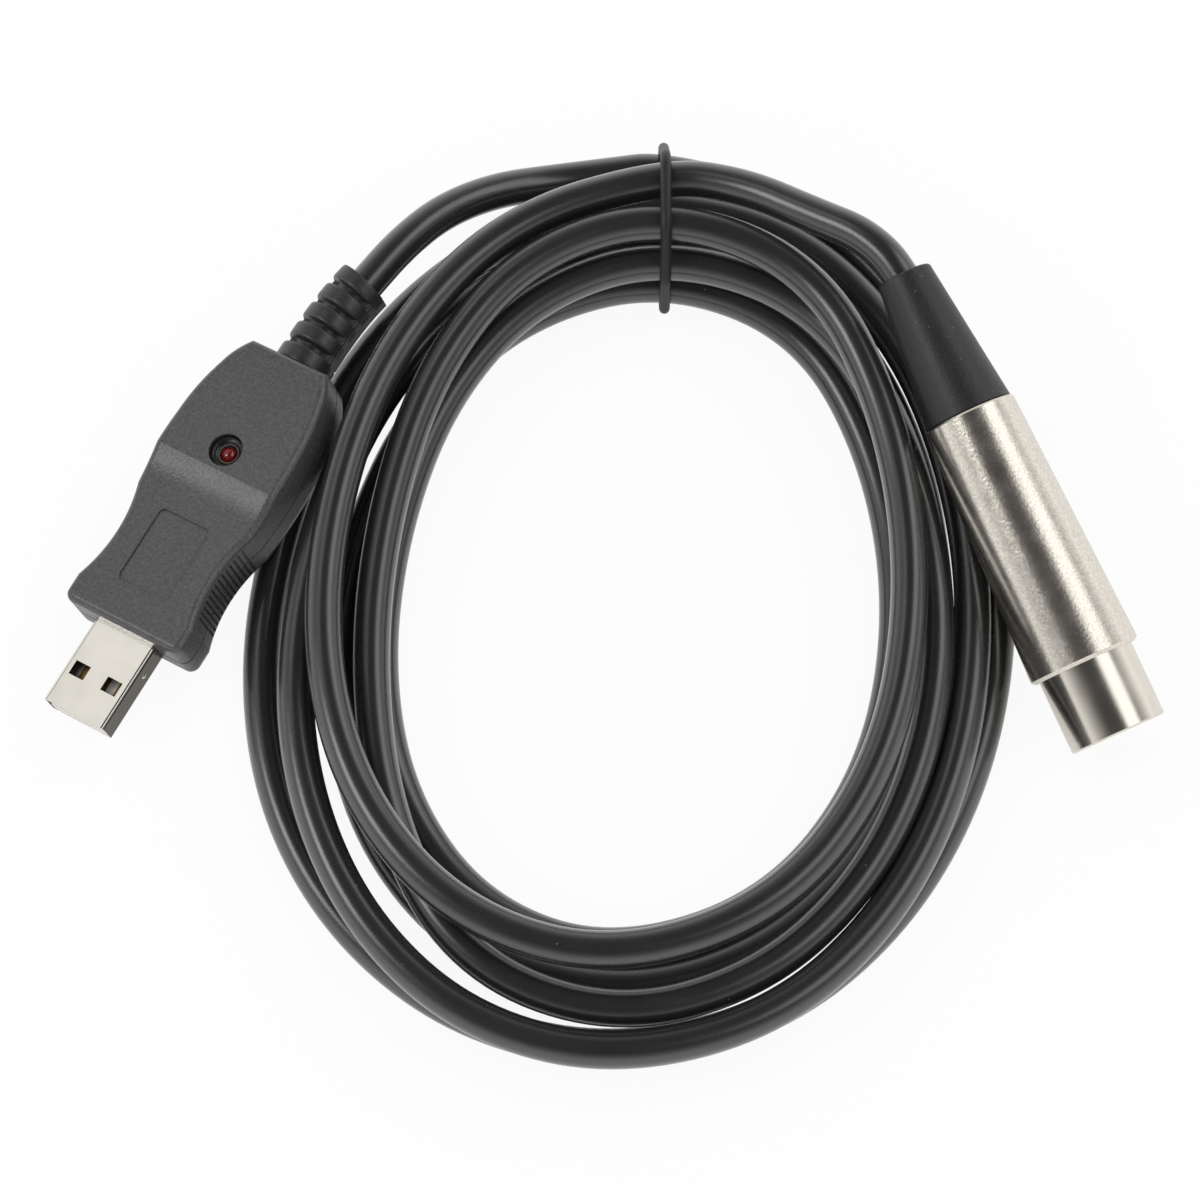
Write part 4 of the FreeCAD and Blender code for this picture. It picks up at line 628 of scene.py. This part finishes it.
class COIL_OT_tie(bpy.types.Operator):
    """Close the elastic tie round the bundle"""
    bl_idname = "coil.tie"
    bl_label = "Close the tie"

    def execute(self, context):
        """For each direction the path takes the crossing that lies furthest that way and goes out
        from it by half the cable and half the tie; a small circle across the path makes the tube."""
        sizes = context.scene.coil_sizes
        crossings = np.vstack([TURNS[:, 0], LAST_TIE_CROSSING]) * MM
        reach = (sizes.cable_diameter + sizes.tie_thickness) / 2 + TIE_CLEARANCE * MM
        angle = np.linspace(0, 2 * np.pi, 721)
        normal = np.stack([np.cos(angle), np.sin(angle)], axis=1)
        path = crossings[np.argmax(normal @ crossings.T, axis=1)] + normal * reach
        run = np.concatenate([[0], np.cumsum(np.linalg.norm(np.diff(path, axis=0), axis=1))])
        even = np.linspace(0, run[-1], 181)[:-1]
        path = np.stack([np.interp(even, run, path[:, axis]) for axis in (0, 1)], axis=1)
        path = np.hstack([np.full((len(path), 1), STATION_PLACES["tie"] * MM), path]) + CENTRE
        ring = ring_mesh("elastic_tie", path, (1.0, 0.0, 0.0), sizes.tie_thickness / 2)
        tie = add_piece("elastic_tie", ring, "elastic_rubber")
        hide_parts("coil_tie")
        return {"FINISHED"}


class COIL_OT_strain_relief(bpy.types.Operator):
    """Mould the strain relief, pulled a little round by the cable"""
    bl_idname = "coil.strain_relief"
    bl_label = "Mould the strain relief"

    def execute(self, context):
        """The outside radius follows a row of round-shouldered ribs on a core; a flat rail stands out
        along the right side and a lower one along the left. The axis bends towards the coil, and the
        bore closes the shape."""
        bend = context.scene.coil_sizes.relief_bend
        rings = np.linspace(-SPIGOT_LENGTH, HOUSING_BACK - RELIEF_BACK, 190)
        # The step from the spigot to the collar stands between two rings of its own
        along = np.unique(np.concatenate([rings, [0.0, 0.02]]))
        profile = np.full(len(along), RELIEF_CORE)
        collar = rounded((along - COLLAR_LENGTH / 2) / (COLLAR_LENGTH / 2))
        profile = np.maximum(profile, RELIEF_CORE + (RELIEF_COLLAR - RELIEF_CORE) * collar)
        for number in range(RIB_COUNT):
            middle = RIB_FIRST + RIB_WIDTH / 2 + number * RIB_PITCH
            rib = rounded((along - middle) / (RIB_WIDTH / 2 + RIB_SHOULDER))
            profile = np.maximum(profile, RELIEF_CORE + (RELIEF_RIB - RELIEF_CORE) * rib)
        profile = np.where(along <= 0, SPIGOT_RADIUS, profile)
        columns = 120
        angle = np.arange(columns) * 2 * np.pi / columns
        reach = np.where(np.cos(angle) > 0, RAIL_REACH_RIGHT, RAIL_REACH_LEFT)
        with np.errstate(divide="ignore"):
            rail = np.minimum(reach / np.abs(np.cos(angle)), RAIL_HALF_HEIGHT / np.abs(np.sin(angle)))
        railed = (along > RAIL_START)[:, None]
        outside = np.maximum(profile[:, None], np.where(railed, rail, 0.0))
        inside = np.full_like(outside, RELIEF_BORE)[::-1]
        radius = np.vstack([outside, inside])
        axis, lean = relief_axis(np.concatenate([along, along[::-1]]), bend)
        x = axis[:, :1] + radius * np.sin(lean)[:, None] * np.cos(angle)
        y = axis[:, 1:2] + radius * np.cos(lean)[:, None] * np.cos(angle)
        z = radius * np.sin(angle)
        sleeve = grid_mesh("strain_relief", on_plug(np.stack([x, y, z], axis=-1)), wrap_rows=True)
        relief = add_piece("strain_relief", sleeve, "moulded_pvc")
        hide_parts("usb_strain_relief")
        return {"FINISHED"}


class COIL_OT_housing_trim(bpy.types.Operator):
    """Line the light's dish with a dark cup of painted shade and edge the bare panel"""
    bl_idname = "coil.housing_trim"
    bl_label = "Trim the plug's housing"

    def execute(self, context):
        """The liner is a dark turned cup of painted shade with a hole for the light; the bead follows the
        panel's outline, four quarter circles joined by straight runs."""
        shade_liner = turned_mesh("light_dish", PAINTED_SHADE_LINER, LIGHT_PLACE, on_plug, wrap_rows=True)
        add_piece("light_dish", shade_liner, "painted_shade_abs")
        corners = np.array([(PANEL_FRONT, PANEL_SIDE), (PANEL_BACK, PANEL_SIDE),
                            (PANEL_BACK, -PANEL_SIDE), (PANEL_FRONT, -PANEL_SIDE)])
        angle = np.linspace(0, np.pi / 2, 9) + np.arange(4)[:, None] * np.pi / 2
        flat = corners[:, None] + PANEL_CORNER * np.stack([np.cos(angle), np.sin(angle)], axis=-1)
        path = np.insert(flat.reshape(-1, 2), 2, PANEL_EDGE_HEIGHT, axis=1)
        bead = ring_mesh("panel_edge", on_plug(path), PLUG_TURN[:, 2], PANEL_EDGE_RADIUS * MM, columns=8)
        add_piece("panel_edge", bead, "grained_abs")
        return {"FINISHED"}


class COIL_OT_tongue_lip(bpy.types.Operator):
    """Close the front of the plug's insulator with its moulded lip"""
    bl_idname = "coil.tongue_lip"
    bl_label = "Mould the insulator's lip"

    def execute(self, context):
        """A bar with broken edges across the plug's mouth: a six-cornered outline along the plug's own
        axis and upright, carried across the width."""
        sides = [np.insert(LIP_OUTLINE, 1, side * LIP_HALF_WIDTH, axis=1) for side in (-1, 1)]
        bar = grid_mesh("tongue_lip", on_plug(np.stack(sides)))
        bar.shade_flat()
        # The lip takes the lighter white: painted light on the open front of the insulator
        add_piece("tongue_lip", bar, "painted_lit_pbt")
        return {"FINISHED"}


class COIL_OT_shell_dimples(bpy.types.Operator):
    """Press the two locking dimples of the plug's shell, one on each side"""
    bl_idname = "coil.shell_dimples"
    bl_label = "Press the shell's dimples"

    def execute(self, context):
        """Each dimple is a low dome: its height falls from the middle as the square of the radius. Its
        underside lies inside the shell's wall, and its upright is the shell's side."""
        middle = 0.02
        radius = np.linspace(DIMPLE_RADIUS, middle, 8)
        height = SHELL_SIDE + DIMPLE_HEIGHT * (1 - (radius / DIMPLE_RADIUS) ** 2)
        under = [(middle, SHELL_SIDE - 0.1), (DIMPLE_RADIUS, SHELL_SIDE - 0.1)]
        profile = np.vstack([under, np.stack([radius, height], axis=1)])
        for name, side in (("shell_dimple_right", 1), ("shell_dimple_left", -1)):
            def place(points, side=side):
                return on_plug(points[..., [0, 2, 1]] * (1, side, -side))
            dome = turned_mesh(name, profile, DIMPLE_PLACE, place, columns=20)
            add_piece(name, dome, "polished_nickel")
        return {"FINISHED"}


def rounded(share):
    """A flat-topped hump with round shoulders: the sixth root of one less the sixth power."""
    return np.clip(1 - np.abs(share) ** 6, 0, None) ** (1 / 6)


class COIL_OT_stage(bpy.types.Operator):
    """Set the floor, the soft lights and the camera"""
    bl_idname = "coil.stage"
    bl_label = "Set the studio"

    def execute(self, context):
        scene = context.scene
        floor_mesh = bpy.data.meshes.new("floor")
        corners = np.array([(-1, -1, 0), (1, -1, 0), (1, 1, 0), (-1, 1, 0)]) * FLOOR_REACH
        floor_mesh.from_pydata(corners.tolist(), [], [(0, 1, 2, 3)])
        floor_mesh.materials.append(floor_finish(scene.coil_finish.floor))
        floor = bpy.data.objects.new("floor", floor_mesh)
        scene.collection.objects.link(floor)
        floor.location.z = -FLOOR_DROP
        for name, place, size, heading, energy in LAMPS:
            lamp = bpy.data.lights.new(name, "AREA")
            lamp.shape = "RECTANGLE"
            lamp.size, lamp.size_y = size
            lamp.energy = energy
            holder = bpy.data.objects.new(name, lamp)
            scene.collection.objects.link(holder)
            holder.location = place
            holder.rotation_euler = facing(place, heading)
        world = bpy.data.worlds.new("studio")
        scene.world = world
        world.use_nodes = True
        light_world(world.node_tree)
        camera_data = bpy.data.cameras.new("camera")
        camera_data.lens = CAMERA_LENS
        camera_data.sensor_width = CAMERA_SENSOR
        camera_data.dof.use_dof = False
        camera = bpy.data.objects.new("camera", camera_data)
        scene.collection.objects.link(camera)
        height = math.radians(CAMERA_ELEVATION)
        camera.location = CENTRE + CAMERA_DISTANCE * np.array([0.0, -math.cos(height), math.sin(height)])
        camera.rotation_euler = (math.pi / 2 - height, 0, 0)
        scene.camera = camera
        scene.view_settings.view_transform = "Standard"
        return {"FINISHED"}


def facing(place, heading):
    """Euler angles of a lamp that shines from its place at the centre, its first side near the heading."""
    back = np.array(place) / np.linalg.norm(place)
    side = np.array([math.cos(math.radians(heading)), math.sin(math.radians(heading)), 0.0])
    side -= back * (back @ side)
    side /= np.linalg.norm(side)
    return rotation_of(np.stack([side, np.cross(back, side), back], axis=1))


def floor_finish(colour):
    """Pale laminate: diffuse, and by itself nearly white to the camera and half white in reflections."""
    material = bpy.data.materials.new("pale_table")
    material.use_nodes = True
    tree = material.node_tree
    shader = tree.nodes["Principled BSDF"]
    shader.inputs["Base Color"].default_value = (*colour, 1)
    shader.inputs["Roughness"].default_value = 0.9
    path = add_node(tree, "ShaderNodeLightPath")
    looked = add_node(tree, "ShaderNodeMath", {0: path.outputs["Is Camera Ray"],
                                               1: path.outputs["Is Transmission Ray"]}, operation="MAXIMUM")
    direct = add_node(tree, "ShaderNodeMath", {0: looked.outputs[0], 1: FLOOR_SHOWN_WHITE},
                      operation="MULTIPLY")
    mirrored = add_node(tree, "ShaderNodeMath", {0: path.outputs["Is Glossy Ray"], 1: FLOOR_MIRRORED_WHITE},
                        operation="MULTIPLY")
    share = add_node(tree, "ShaderNodeMath", {0: direct.outputs[0], 1: mirrored.outputs[0]},
                     operation="MAXIMUM")
    glow = add_node(tree, "ShaderNodeEmission", {"Color": (1, 1, 1, 1), "Strength": 1.0})
    both = add_node(tree, "ShaderNodeMixShader",
                    {0: share.outputs[0], 1: shader.outputs[0], 2: glow.outputs[0]})
    tree.links.new(both.outputs[0], tree.nodes["Material Output"].inputs["Surface"])
    return material


def light_world(tree):
    """A dim room: white to the camera, and bright low down and dim overhead in reflections."""
    tree.nodes.clear()
    way = add_node(tree, "ShaderNodeTexCoord").outputs["Generated"]
    parts = add_node(tree, "ShaderNodeSeparateXYZ", {0: way})
    high = add_node(tree, "ShaderNodeMapRange",
                    {"Value": parts.outputs["Z"], "From Min": 0.0, "From Max": 0.9,
                     "To Min": 1.1, "To Max": 0.05}, interpolation_type="SMOOTHSTEP")
    path = add_node(tree, "ShaderNodeLightPath")
    mirrored = add_node(tree, "ShaderNodeMath", {0: path.outputs["Is Glossy Ray"],
                                                 1: path.outputs["Is Transmission Ray"]}, operation="MAXIMUM")
    # A Mix node of numbers takes them at its sockets 2 and 3
    room = add_node(tree, "ShaderNodeMix", {0: mirrored.outputs[0], 2: ROOM_LIGHT, 3: high.outputs[0]},
                    data_type="FLOAT")
    strength = add_node(tree, "ShaderNodeMix", {0: path.outputs["Is Camera Ray"], 2: room.outputs[0], 3: 1.0},
                        data_type="FLOAT")
    sky = add_node(tree, "ShaderNodeBackground", {"Color": (1, 1, 1, 1), "Strength": strength.outputs[0]})
    add_node(tree, "ShaderNodeOutputWorld", {"Surface": sky.outputs[0]})


class VIEW3D_PT_cable_coil(bpy.types.Panel):
    """The pieces and the studio of the cable coil"""
    bl_idname = "VIEW3D_PT_cable_coil"
    bl_label = "Cable coil"
    bl_space_type = "VIEW_3D"
    bl_region_type = "UI"
    bl_category = "Cable coil"

    def draw(self, context):
        for group in (context.scene.coil_sizes, context.scene.coil_finish):
            box = self.layout.box()
            for name in group.__annotations__:
                box.prop(group, name)
        for operator in OPERATORS:
            self.layout.operator(operator.bl_idname)


OPERATORS = (COIL_OT_finish_nodes, COIL_OT_cable, COIL_OT_tie, COIL_OT_strain_relief, COIL_OT_housing_trim,
             COIL_OT_tongue_lip, COIL_OT_shell_dimples, COIL_OT_stage)
CLASSES = (CoilSizes, CoilFinish) + OPERATORS + (VIEW3D_PT_cable_coil,)


def register():
    for kind in CLASSES:
        bpy.utils.register_class(kind)
    bpy.types.Scene.coil_sizes = PointerProperty(type=CoilSizes)
    bpy.types.Scene.coil_finish = PointerProperty(type=CoilFinish)


def unregister():
    del bpy.types.Scene.coil_finish
    del bpy.types.Scene.coil_sizes
    for kind in reversed(CLASSES):
        bpy.utils.unregister_class(kind)


def main():
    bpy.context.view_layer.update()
    register()
    bpy.ops.coil.finish_nodes()
    bpy.ops.coil.cable()
    bpy.ops.coil.tie()
    bpy.ops.coil.strain_relief()
    bpy.ops.coil.housing_trim()
    bpy.ops.coil.tongue_lip()
    bpy.ops.coil.shell_dimples()
    bpy.ops.coil.stage()
    bpy.context.view_layer.update()


if __name__ == "__main__":
    main()
